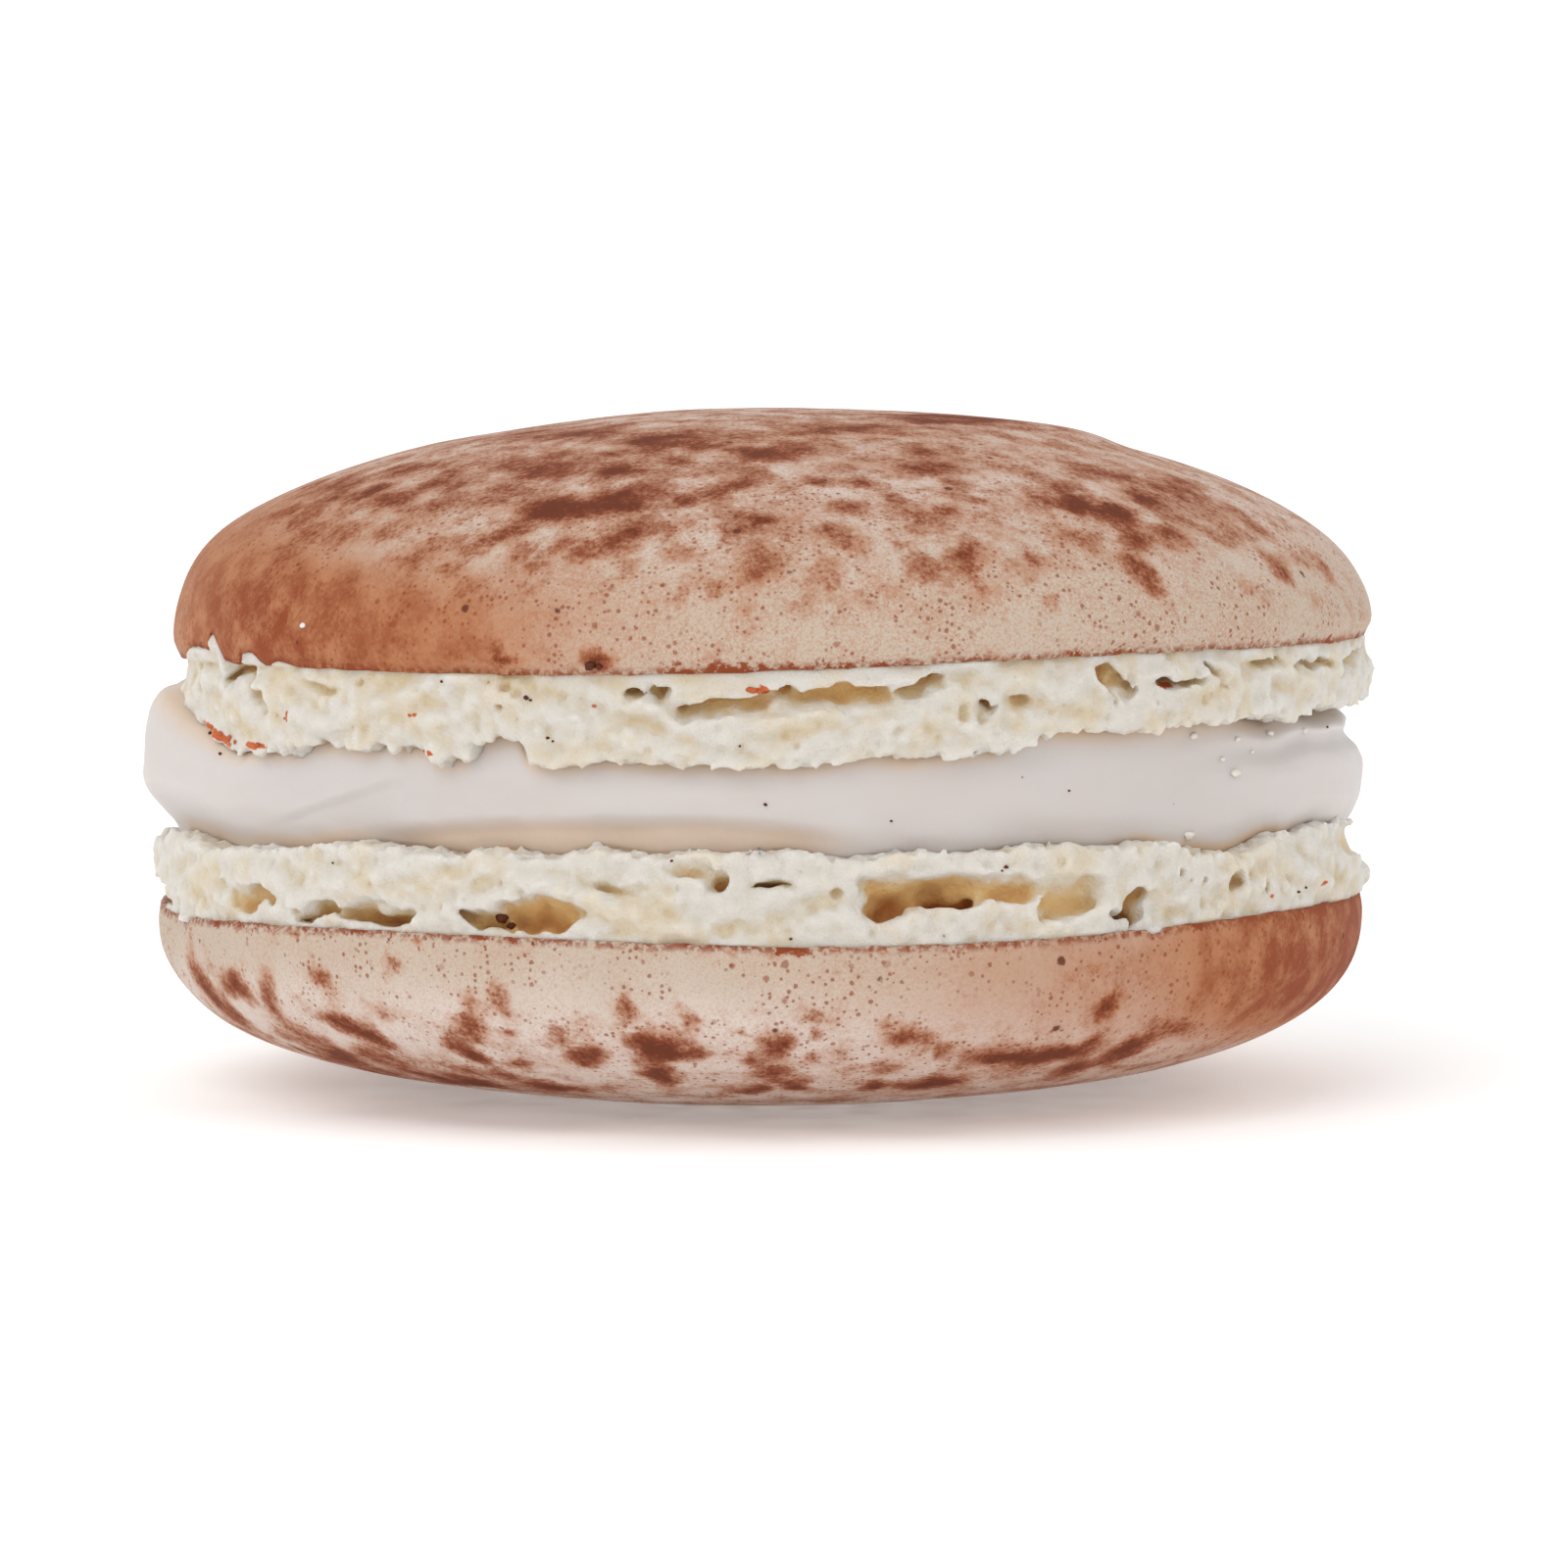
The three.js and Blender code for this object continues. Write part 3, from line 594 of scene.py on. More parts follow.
class CrumbField:
    """Distance to the surface of a foot's crumb, over azimuth, depth behind its face and height past its rim.

    In millimetres and negative inside. The azimuth axis closes on itself. Past the rim towards the cap the
    crumb runs on under the skin, and past the free edge a smooth core runs on into the filling.
    """

    def __init__(self, shell, turns, roughness, seed):
        self.shell = shell
        self.turns = turns
        self.around = 2 * math.pi * shell["foot_radius"]
        self.cell = self.around / turns
        self.random = np.random.default_rng(seed)
        self.azimuth = np.arange(turns) * TURN / turns
        self.rim = rim_height(shell, self.azimuth)
        self.edge = (self.rim - edge_height(shell, self.azimuth)) * shell["side"]
        self.depth = np.arange(-GRID_PROUD, GRID_DEEP, self.cell)
        first = -GRID_SPARE - torn_height(shell, self.azimuth).max()
        self.past = np.arange(first, self.edge.max() + GRID_SPARE, self.cell)
        self.rough = roughness
        self.field = None

    def noise(self, size):
        """Noise over the whole grid with bumps of the given size."""
        lengths = (self.around, self.depth[-1] - self.depth[0], self.past[-1] - self.past[0])
        cells = [max(1, round(length / size)) for length in lengths]
        lattice = self.random.uniform(-1, 1, (cells[0], cells[1] + 2, cells[2] + 2)).astype(np.float32)
        places = [np.arange(self.turns) * cells[0] / self.turns]
        for steps, axis in zip(cells[1:], (self.depth, self.past)):
            places.append(0.37 + np.arange(len(axis)) * steps / (len(axis) - 1))
        return blend_lattice(lattice, places, 1)

    def face_depth(self):
        """How far the plain face lies behind the foot's radius, over azimuth and height past the rim."""
        shell = self.shell
        azimuth = self.azimuth[:, None]
        z = self.rim[:, None] - shell["side"] * self.past[None]
        share = np.clip(self.past[None] / self.edge[:, None], 0, 1)
        depth = -0.12 * np.sin(np.pi * share) - ripple(azimuth, z, 0.05, shell["seeds"][1])
        for middle, half, height, rise, amount in shell["swells"]:
            away = np.hypot(turn_between(azimuth, middle) / half, (z - height) / rise)
            depth = depth - amount * fall(away, 0, 1.15)
        torn = torn_height(shell, azimuth)
        bare = fall(-self.past[None] - torn, -0.1, 0.05) * (torn > 0.05)
        under = shell["foot_radius"] - skin_radius(shell, -self.past)[None] + 0.09 - 0.19 * bare
        return np.where(self.past[None] < 0, under, depth)

    def calm(self):
        """How rough the crumb is: skin near the front of the rim is smooth, all else is torn."""
        middle, half, height = self.shell["lip"]
        lip = fall(turn_between(self.azimuth, middle), half, half + 4)[:, None]
        lip = lip * fall(self.past[None], 0.4 * height, height) * (self.past[None] > 0)
        covered = self.past[None] < -torn_height(self.shell, self.azimuth)[:, None]
        return self.rough * (1 - 0.75 * lip) * np.where(covered, 0.25, 1)

    def fill(self):
        """The solid crumb with its uneven face and its ragged free edge."""
        middle = self.noise(0.85)
        fine = self.noise(0.36)
        grain = self.noise(0.2)
        calm = self.calm()[:, None, :]
        depth = self.depth[None, :, None]
        past = self.past[None, None, :]
        face = self.face_depth()[:, None, :] - depth
        face = face + calm * (0.12 * self.noise(2.1) + 0.13 * middle + 0.085 * fine + 0.04 * grain)
        edge = past - self.edge[:, None, None] + 0.1 * middle + 0.16 * fine + 0.12 * grain
        self.field = np.minimum(join(edge, face, 0.15), CORE_DEPTH - depth).astype(np.float32)

    def carve_hollows(self):
        """Cuts the torn hollows: uneven ellipsoids that reach in behind the crumb at the rim."""
        shell = self.shell
        warp_along = 0.5 * self.noise(0.9) + 0.2 * self.noise(0.35)
        warp_up = 0.24 * self.noise(0.8) + 0.1 * self.noise(0.32)
        slant = 0.45 * np.clip(self.depth, 0, 3)[None, :, None]
        degree = self.around / TURN
        hollows = [*shell["hollows"], *hidden_hollows(*shell["hidden_hollows"])]
        for middle, half, height, rise, depth, lean in hollows:
            near = np.flatnonzero(turn_between(self.azimuth, middle) < 2.2 * half + 3)
            away = turn_from(middle, self.azimuth[near])
            past = (rim_height(shell, middle) - height) * shell["side"]
            s = away[:, None, None] * degree + warp_along[near]
            w = self.past[None, None, :] - past + warp_up[near] + slant
            tilt = math.radians(lean * shell["side"])
            along = (s * math.cos(tilt) + w * math.sin(tilt)) / (half * degree)
            up = (w * math.cos(tilt) - s * math.sin(tilt)) / rise
            inward = (self.depth[None, :, None] + 0.1) / (depth + 0.1)
            hole = (1 - np.sqrt(along ** 2 + up ** 2 + inward ** 2)) * min(half * degree, rise, depth)
            self.field[near] = join(self.field[near], hole, 0.16)

    def scatter(self, count, sizes, sink, lumps, span):
        """Scatters bubbles over the face, or lumps; span is the share of the height where they lie."""
        face = self.face_depth()
        draw = self.random
        for _ in range(count):
            radius = sizes[0] + (sizes[1] - sizes[0]) * draw.random() ** 3
            i = draw.integers(self.turns)
            past = self.edge[i] * (span[0] + (span[1] - span[0]) * draw.random())
            k = int((past - self.past[0]) / self.cell)
            depth = face[i, k] + radius * (sink[0] + (sink[1] - sink[0]) * draw.random())
            reach = int(radius / self.cell) + 2
            j = int((depth - self.depth[0]) / self.cell)
            near_i = np.arange(i - reach, i + reach + 1)
            near_j = np.arange(max(0, j - reach), min(len(self.depth), j + reach + 1))
            near_k = np.arange(max(0, k - reach), min(len(self.past), k + reach + 1))
            place = np.ix_(near_i % self.turns, near_j, near_k)
            squash = 0.7 + 0.6 * draw.random()
            away = np.sqrt(
                ((near_i - i) * self.cell)[:, None, None] ** 2
                + (self.depth[near_j] - depth)[None, :, None] ** 2
                + ((self.past[near_k] - past) * squash)[None, None, :] ** 2
            ).astype(np.float32)
            here = self.field[place]
            if lumps:
                self.field[place] = -join(-here, radius - away, 0.2)
            else:
                self.field[place] = join(here, radius - away, 0.1)

    def crowding(self, reach):
        """Share of solid around each place, from 0 in the open to 1 deep inside."""
        share = (self.field < 0).astype(np.float32)
        steps = int(reach / self.cell)
        for axis in range(3):
            pad = [(steps, steps) if i == axis else (0, 0) for i in range(3)]
            padded = np.pad(share, pad, mode="edge" if axis else "wrap")
            total = np.insert(np.cumsum(padded, axis=axis, dtype=np.float64), 0, 0, axis=axis)
            first = np.arange(share.shape[axis])
            share = (total.take(first + 2 * steps + 1, axis) - total.take(first, axis)) / (2 * steps + 1)
        return share

    def skin(self):
        """Points in cells, and quads, of the crumb's surface, joined where the turn closes."""
        margin = 4
        wide = np.concatenate([self.field[-margin:], self.field, self.field[:margin]])
        grid = openvdb.FloatGrid(1.0)
        grid.copyFromArray(np.ascontiguousarray(wide))
        points, quads = grid.convertToQuads(0.0)
        limits = np.array(self.field.shape) - 1
        inside = np.all((points[:, 1:] > 0) & (points[:, 1:] < limits[1:]), axis=1)
        first = points[quads].min(axis=1)[:, 0] - margin
        quads = quads[inside[quads].all(axis=1) & (first >= -0.5) & (first < self.turns - 0.5)]
        points = points - [margin, 0, 0]
        key = np.round(points * 500).astype(np.int64)
        key[:, 0] %= self.turns * 500
        _, first_of, same = np.unique(key, axis=0, return_index=True, return_inverse=True)
        used, quads = np.unique(same.reshape(-1)[quads], return_inverse=True)
        return points[first_of[used]], quads.reshape(-1, 4)


def set_values(mesh, **values):
    """Stores numbers at each vertex, for the materials to read."""
    for name, numbers in values.items():
        mesh.attributes.new(name, "FLOAT", "POINT").data.foreach_set("value", np.asarray(numbers, np.float32))


def loose_points(body):
    """Points of a mesh that hang together with fewer others than the largest part does."""
    parts = []
    waiting = set(body.verts)
    while waiting:
        part = [waiting.pop()]
        for vert in part:
            for edge in vert.link_edges:
                other = edge.other_vert(vert)
                if other in waiting:
                    waiting.remove(other)
                    part.append(other)
        parts.append(part)
    parts.sort(key=len)
    return [vert for part in parts[:-1] for vert in part]


def outward_mesh(body, mesh):
    """Writes a shape to a mesh with its faces turned outwards."""
    bmesh.ops.recalc_face_normals(body, faces=body.faces)
    body.to_mesh(mesh)
    body.free()
    return mesh


def foot_mesh(shell, turns, roughness):
    """A foot's torn crumb as a closed ring, with how deep and how crowded each place is."""
    crumb = CrumbField(shell, turns, roughness, shell["seeds"][1])
    crumb.fill()
    crumb.scatter(*LUMPS)
    crumb.carve_hollows()
    crumb.scatter(*BUBBLES)
    crumb.scatter(*EDGE_LUMPS)
    points, quads = crumb.skin()
    azimuth = points[:, 0] * TURN / turns
    depth = crumb.depth[0] + points[:, 1] * crumb.cell
    past = crumb.past[0] + points[:, 2] * crumb.cell
    height = rim_height(shell, azimuth) - shell["side"] * past
    place = ring_point(shell["axis_x"], azimuth, shell["foot_radius"] - depth, height)
    mesh = bpy.data.meshes.new("foot")
    mesh.from_pydata(place, [], (quads if shell["side"] > 0 else quads[:, ::-1]).tolist())
    nearest = tuple(np.clip(np.round(points).astype(int), 0, np.array(crumb.field.shape) - 1).T)
    inside = np.interp(azimuth, crumb.azimuth, crumb.edge, period=TURN) - past
    stain = np.zeros(len(points))
    for middle, level, half, thick, slope in shell["stains"]:
        away = turn_from(middle, azimuth)
        tilt = complex(math.cos(math.radians(slope)), -math.sin(math.radians(slope)))
        turned = (away * math.radians(shell["foot_radius"]) + 1j * (height - level)) * tilt
        stain = np.maximum(stain, fall(np.hypot(turned.real / half, turned.imag / thick), 0.3, 1.4))
    # Crowding and depth are stored for the material, which paints shade into the pits and hollows by them
    near, far = (crumb.crowding(reach)[nearest] for reach in CROWDING_REACHES)
    set_values(mesh, near=near, far=far, depth=depth, inside=inside, stain=stain)
    body = bmesh.new()
    body.from_mesh(mesh)
    bmesh.ops.delete(body, geom=loose_points(body), context="VERTS")
    grown = bmesh.ops.extrude_edge_only(body, edges=[edge for edge in body.edges if edge.is_boundary])["geom"]
    rims = [item for item in grown if isinstance(item, bmesh.types.BMVert)]
    middle_z = (shell["rim_z"] + shell["edge_z"]) / 2 * MM
    for ring in ([v for v in rims if v.co.z > middle_z], [v for v in rims if v.co.z <= middle_z]):
        height = sum(vert.co.z for vert in ring) / len(ring)
        bmesh.ops.pointmerge(body, verts=ring, merge_co=Vector((shell["axis_x"] * MM, 0, height)))
    return outward_mesh(body, mesh)


def turned_skin(rows, turns):
    """A skin spun from a chain of points, and the azimuth and row of each of its points."""
    body = bmesh.new()
    chain = [body.verts.new((1, 0, row)) for row in range(rows)]
    for first, second in zip(chain, chain[1:]):
        body.edges.new((first, second))
    bmesh.ops.spin(
        body, geom=body.verts[:] + body.edges[:], axis=(0, 0, 1), cent=(0, 0, 0), dvec=(0, 0, 0),
        angle=2 * math.pi, steps=turns, use_merge=True)
    mesh = bpy.data.meshes.new("skin")
    body.to_mesh(mesh)
    body.free()
    places = np.empty(3 * len(mesh.vertices), np.float32)
    mesh.vertices.foreach_get("co", places)
    x, y, z = places.reshape(-1, 3).T
    return mesh, np.degrees(np.arctan2(x, -y)), np.round(z).astype(int)


def close_skin(mesh, points):
    """Moves a spun skin's points to their places, joins its poles and turns its faces outwards."""
    mesh.vertices.foreach_set("co", points.astype(np.float32).ravel())
    body = bmesh.new()
    body.from_mesh(mesh)
    bmesh.ops.remove_doubles(body, verts=body.verts, dist=1e-7)
    return outward_mesh(body, mesh)


def cap_profile(shell):
    """A cap's radius, rise over its widest line and distance from the rim, evenly spaced up to the crown."""
    angle = np.linspace(0, math.pi / 2, 4000)
    power = 2 / shell["cap_fullness"]
    radius = shell["cap_radius"] * np.cos(angle).clip(0) ** power
    rise = shell["cap_height"] * np.sin(angle) ** power
    radius = np.concatenate([[shell["rim_radius"]], radius])
    rise = np.concatenate([[-abs(shell["widest_z"] - shell["rim_z"])], rise])
    along = np.concatenate([[0], np.cumsum(np.hypot(np.diff(radius), np.diff(rise)))])
    even = np.linspace(0, along[-1], CAP_ROWS)
    return np.interp(even, along, radius), np.interp(even, along, rise), even


def painted(places, azimuth, arc, base):
    """A soft tone laid over a cap place by place."""
    for middle, half, spot, tall, amount in places:
        sideways = fall(turn_between(azimuth, middle) / half, 0.1, 1.1)
        base = base + amount * (sideways * fall(np.abs(arc - spot) / tall, 0.1, 1.1))
    return base


def cocoa_marks(shell, points, profile, random):
    """How much cocoa the named marks lay on each point of a cap."""
    radius, rise, along = profile
    wobble = [0.5 * noise_at(random, points, 1.1) + 0.3 * noise_at(random, points, 0.45) for _ in range(2)]
    total = np.zeros(len(points), np.float32)
    for turn, place, wide, tall, strength in shell["marks"]:
        r = np.interp(place, along, radius)
        step = (np.interp(place + 0.1, along, radius) - r) / 0.1
        climb = math.sqrt(max(0.0, 1 - step * step)) * shell["side"]
        z = shell["widest_z"] + shell["side"] * np.interp(place, along, rise)
        angle = math.radians(turn)
        middle = np.array([shell["axis_x"] + r * math.sin(angle), -r * math.cos(angle), z])
        across = np.array([math.cos(angle), math.sin(angle), 0])
        upward = np.array([step * math.sin(angle), -step * math.cos(angle), climb])
        away = points - middle
        near = np.flatnonzero(np.abs(away).max(axis=1) < 2.5 * max(wide, tall) + 0.5)
        away = away[near]
        u = away @ across / wide + wobble[0][near]
        v = away @ upward / tall + wobble[1][near]
        distance = np.hypot(u, v)
        cover = shell["mark_strength"] * strength * fall(distance, 0.0, 1.9)
        total[near] = np.maximum(total[near], cover) + 0.3 * np.minimum(total[near], cover)
    return total


def cap_mesh(shell, turns):
    """A cap's smooth skin, tucked under at the rim, with its cocoa stored on it."""
    random = np.random.default_rng(shell["seeds"][0])
    first = len(CAP_TUCKS) + 1
    mesh, azimuth, row = turned_skin(CAP_ROWS + first, turns)
    profile = cap_profile(shell)
    level = np.clip(row - first, 0, CAP_ROWS - 1)
    radius, rise, arc = (values[level] for values in profile)
    ring = ring_point(0, azimuth, shell["rim_radius"], 0) / MM
    torn = torn_height(shell, azimuth)
    lifted = torn + (0.05 + 0.16 * np.minimum(torn, 0.5)) * noise_at(random, ring, 0.5)
    lifted = lifted * fall(arc, 0, 2.2 + torn)
    radius = np.where(lifted != 0, np.interp(rise + lifted, profile[1], profile[0]), radius)
    rise = rise + lifted
    for middle, half, height, reach, amount in shell["leanings"]:
        near = fall(turn_between(azimuth, middle), 0, half) * fall(np.abs(rise - height), 0, reach)
        radius = radius + amount * near * np.minimum(1, radius / 8)
    rise = rise + shell["side"] * (rim_height(shell, azimuth) - shell["rim_z"]) * fall(arc, 0, 3)
    for step, (inward, up) in enumerate(CAP_TUCKS):
        under = row == first - 1 - step
        radius = np.where(under, radius - inward, radius)
        rise = np.where(under, rise + up, rise)
    rise = np.where(row == 0, 0, rise)
    place = ring_point(shell["axis_x"], azimuth, radius, shell["side"] * rise) / MM
    uneven = 0.04 * noise_at(random, place, 3.5) * np.minimum(1, radius / 2) * (row > first)
    outward = np.minimum(1, radius / shell["cap_radius"]) ** 2
    pole = (row == 0) | (row == CAP_ROWS + first - 1)
    radius = np.where(pole, 0, np.maximum(radius + uneven * outward, 0))
    height = shell["widest_z"] + shell["side"] * (rise + uneven * (1 - outward))
    points = ring_point(shell["axis_x"], azimuth, radius, np.maximum(height, 0))
    wash = np.minimum(painted(shell["washes"], azimuth, arc, 0), MOST_WASH)
    cocoa = painted(shell["mottle_places"], azimuth, arc, np.interp(arc, *zip(*shell["mottle"])))
    cocoa = cocoa + cocoa_marks(shell, points / MM, profile, random)
    # crown is how far towards the crown a point lies, for the painted sheen that pales the skin there
    set_values(mesh, wash=wash, cocoa=cocoa, rim=arc, crown=arc / shell["cream_reach"])
    return close_skin(mesh, points)


def filling_reach(azimuth, level, height):
    """How far the filling stands out at a share of its height, and how much of the low ledge shows there.

    It is even in front, squeezed out at the left and in two folds at the right.
    """
    left = fall(turn_between(azimuth, LOBE_AZIMUTH), 12, 44)
    right = fall(turn_between(azimuth, FOLDS_AZIMUTH), 16, 46)
    roundness = np.sqrt(np.clip(1 - np.abs(2 * level - 1) ** (4 - 1.4 * left), 0, 1))
    flat = 0.25 + (1.05 * left + 0.85 * right - 0.1 * (1 - left) * (1 - right)) * (level > 0.5)
    reach = 0.2 * np.sin(np.radians(3 * azimuth + 40))
    reach = reach + LOBE_REACH * left * (0.3 + 0.7 * (1 - fall(level, 0.05, 0.5)))
    crease = fall(height - CREASE_Z - 0.1 * (azimuth + 44), -0.15, 0.35)
    reach = reach - CREASE_DEPTH * (fall(turn_between(azimuth, -46), 5, 12) * crease)
    low_fold = LOW_FOLD_REACH * fall(np.abs(level - 0.36), 0.1, 0.4)
    reach = reach + right * (FOLDS_REACH + low_fold - FOLDS_TOP_DROP * (1 - fall(level, 0.78, 1)))
    reach = reach - FOLDS_GROOVE * right * fall(np.abs(level - 0.7), 0, 0.12)
    ledge = LEDGE_Z + 0.12 * np.sin(np.radians(5 * azimuth + 60))
    ledge = ledge + 0.5 * fall(turn_between(azimuth, -15), 8, 26)
    fold = fall(turn_between(azimuth, -16), 18, 28) * fall(height, ledge - 0.35, ledge + 0.4)
    return FILLING_RADIUS + reach - LEDGE_DEPTH * fold - flat * (1 - roundness), fold


def filling_mesh(turns):
    """The filling: a closed band that swells out between the feet and runs through between the shells."""
    mesh, azimuth, row = turned_skin(FILLING_ROWS + 4, turns)
    level = np.clip((row - 2) / (FILLING_ROWS - 1), 0, 1)
    low = edge_height(LOWER, azimuth) - FILLING_SUNK
    high = edge_height(UPPER, azimuth) + FILLING_SUNK
    share = np.clip(((high - low) * level - FILLING_SUNK) / (high - low - 2 * FILLING_SUNK), 0, 1)
    lift = LOBE_LIFT * (1 - fall(share, 0.6, 0.95)) * fall(turn_between(azimuth, LOBE_AZIMUTH), 12, 26)
    height = low + (high - low) * level + lift
    radius, fold = filling_reach(azimuth, share, height)
    places = ring_point(0, azimuth, FILLING_RADIUS, 2.2 * height) / MM
    random = np.random.default_rng(9)
    radius = radius + 0.1 * noise_at(random, places, 3.0) + 0.03 * noise_at(random, places, 1.1)
    # Painted shade, stored as shade: where the filling meets the lower foot at the left and right, under the
    # upper skirt, and in its low fold
    under = fall(share, 0.04, 0.22) * fall(turn_between(azimuth, -60), 14, 24)
    under = np.maximum(under, 1.5 * fall(share, 0.03, 0.12) * fall(turn_between(azimuth, 50), 8, 16))
    under = np.maximum(under, 1.5 * fall(1 - share, 0.04, 0.1) * fall(turn_between(azimuth, 27), 4, 8))
    set_values(mesh, shade=np.maximum(np.maximum(fold, under), 1.1 * fall(1 - share, 0, 0.2)))
    radius = radius - 0.5 * fall(level, 0, 0.06) - 0.5 * fall(1 - level, 0, 0.06)
    seat = UPPER_SEAT_Z + UPPER["edge_slope"] * FILLING_SEAT_RADIUS * np.sin(np.radians(azimuth))
    last = FILLING_ROWS + 3
    pole, rim = (row == 0) | (row == last), (row == 1) | (row == last - 1)
    radius = np.select([pole, rim], [0, FILLING_SEAT_RADIUS], radius)
    height = np.select([row <= 1, row == last - 1, row == last], [LOWER_SEAT_Z, seat, UPPER_SEAT_Z], height)
    return close_skin(mesh, ring_point(LOWER["axis_x"], azimuth, radius, height))


class Value:
    """A number that varies over a surface. Expressions on it add Math nodes to its material."""

    def __init__(self, finish, socket):
        self.finish = finish
        self.socket = socket

    def joined(self, operation, first, second):
        return self.finish.node("ShaderNodeMath", {"operation": operation}, {0: first, 1: second})

    def __add__(self, other):
        return self.joined("ADD", self, other)

    def __sub__(self, other):
        return self.joined("SUBTRACT", self, other)

    def __rsub__(self, other):
        return self.joined("SUBTRACT", other, self)

    def __mul__(self, other):
        return self.joined("MULTIPLY", self, other)

    __radd__ = __add__
    __rmul__ = __mul__

    def ramp(self, low, high):
        """0 below low and 1 above high, smoothly between; the other way round where low is the greater."""
        ends = {1: min(low, high), 2: max(low, high), 3: float(low > high), 4: float(low < high)}
        return self.finish.node("ShaderNodeMapRange", {"interpolation_type": "SMOOTHSTEP"}, {0: self, **ends})


class Finish:
    """A material, and the one way in which nodes are added to it."""

    def __init__(self, name, **sockets):
        self.material = bpy.data.materials.new(name)
        self.material.use_nodes = True
        self.tree = self.material.node_tree
        self.shader = self.tree.nodes["Principled BSDF"]
        for socket, value in sockets.items():
            self.shader.inputs[socket.replace("_", " ")].default_value = value

    def node(self, kind, settings, values, output=0):
        """Adds a node: settings first, then numbers or links for its sockets."""
        node = self.tree.nodes.new(kind)
        for name, value in settings.items():
            setattr(node, name, value)
        for socket, value in values.items():
            if isinstance(value, Value):
                self.tree.links.new(value.socket, node.inputs[socket])
            else:
                node.inputs[socket].default_value = value
        return Value(self, node.outputs[output])

    def stored(self, name):
        """A number stored on the mesh."""
        return self.node("ShaderNodeAttribute", {"attribute_name": name}, {}, "Fac")

    def place(self, seed):
        """Where a point lies, moved so that each seed gives its own pattern."""
        here = self.node("ShaderNodeTexCoord", {}, {}, "Object")
        moved = (seed, 0.7 * seed, 0.3 * seed)
        return self.node("ShaderNodeVectorMath", {"operation": "ADD"}, {0: here, 1: moved})

    def noise(self, size, seed, detail=2.0, crispness=0.5):
        """Noise from 0 to 1 with patches of a size in millimetres."""
        return self.node("ShaderNodeTexNoise", {}, {
            "Vector": self.place(seed), "Scale": 1 / (size * MM), "Detail": detail, "Roughness": crispness})

    def dots(self, spacing, size, seed, ragged=0.0):
        """Dots up to a size in millimetres, from 0 to 1, with edges made uneven by a number that varies."""
        distance = self.node(
            "ShaderNodeTexVoronoi", {}, {"Vector": self.place(seed), "Scale": 1 / (spacing * MM)})
        colour = Value(self, distance.socket.node.outputs["Color"])
        chance = self.node("ShaderNodeSeparateColor", {}, {0: colour})
        return (distance * (spacing / size) - chance + ragged).ramp(0.0, -0.4)

    def mix(self, share, first, second):
        """A colour between two others."""
        colours = {6: first, 7: second}
        for socket, colour in colours.items():
            if not isinstance(colour, Value):
                colours[socket] = (*colour, 1.0)
        return self.node("ShaderNodeMix", {"data_type": "RGBA"}, {0: share, **colours}, 2)

    def finished(self, colour, roughness, height, depth):
        """Links the colour, roughness and relief, and gives the material."""
        self.tree.links.new(colour.socket, self.shader.inputs["Base Color"])
        if isinstance(roughness, Value):
            self.tree.links.new(roughness.socket, self.shader.inputs["Roughness"])
        else:
            self.shader.inputs["Roughness"].default_value = roughness
        bump = self.node("ShaderNodeBump", {}, {"Strength": 1.0, "Distance": depth * MM, "Height": height})
        self.tree.links.new(bump.socket, self.shader.inputs["Normal"])
        return self.material


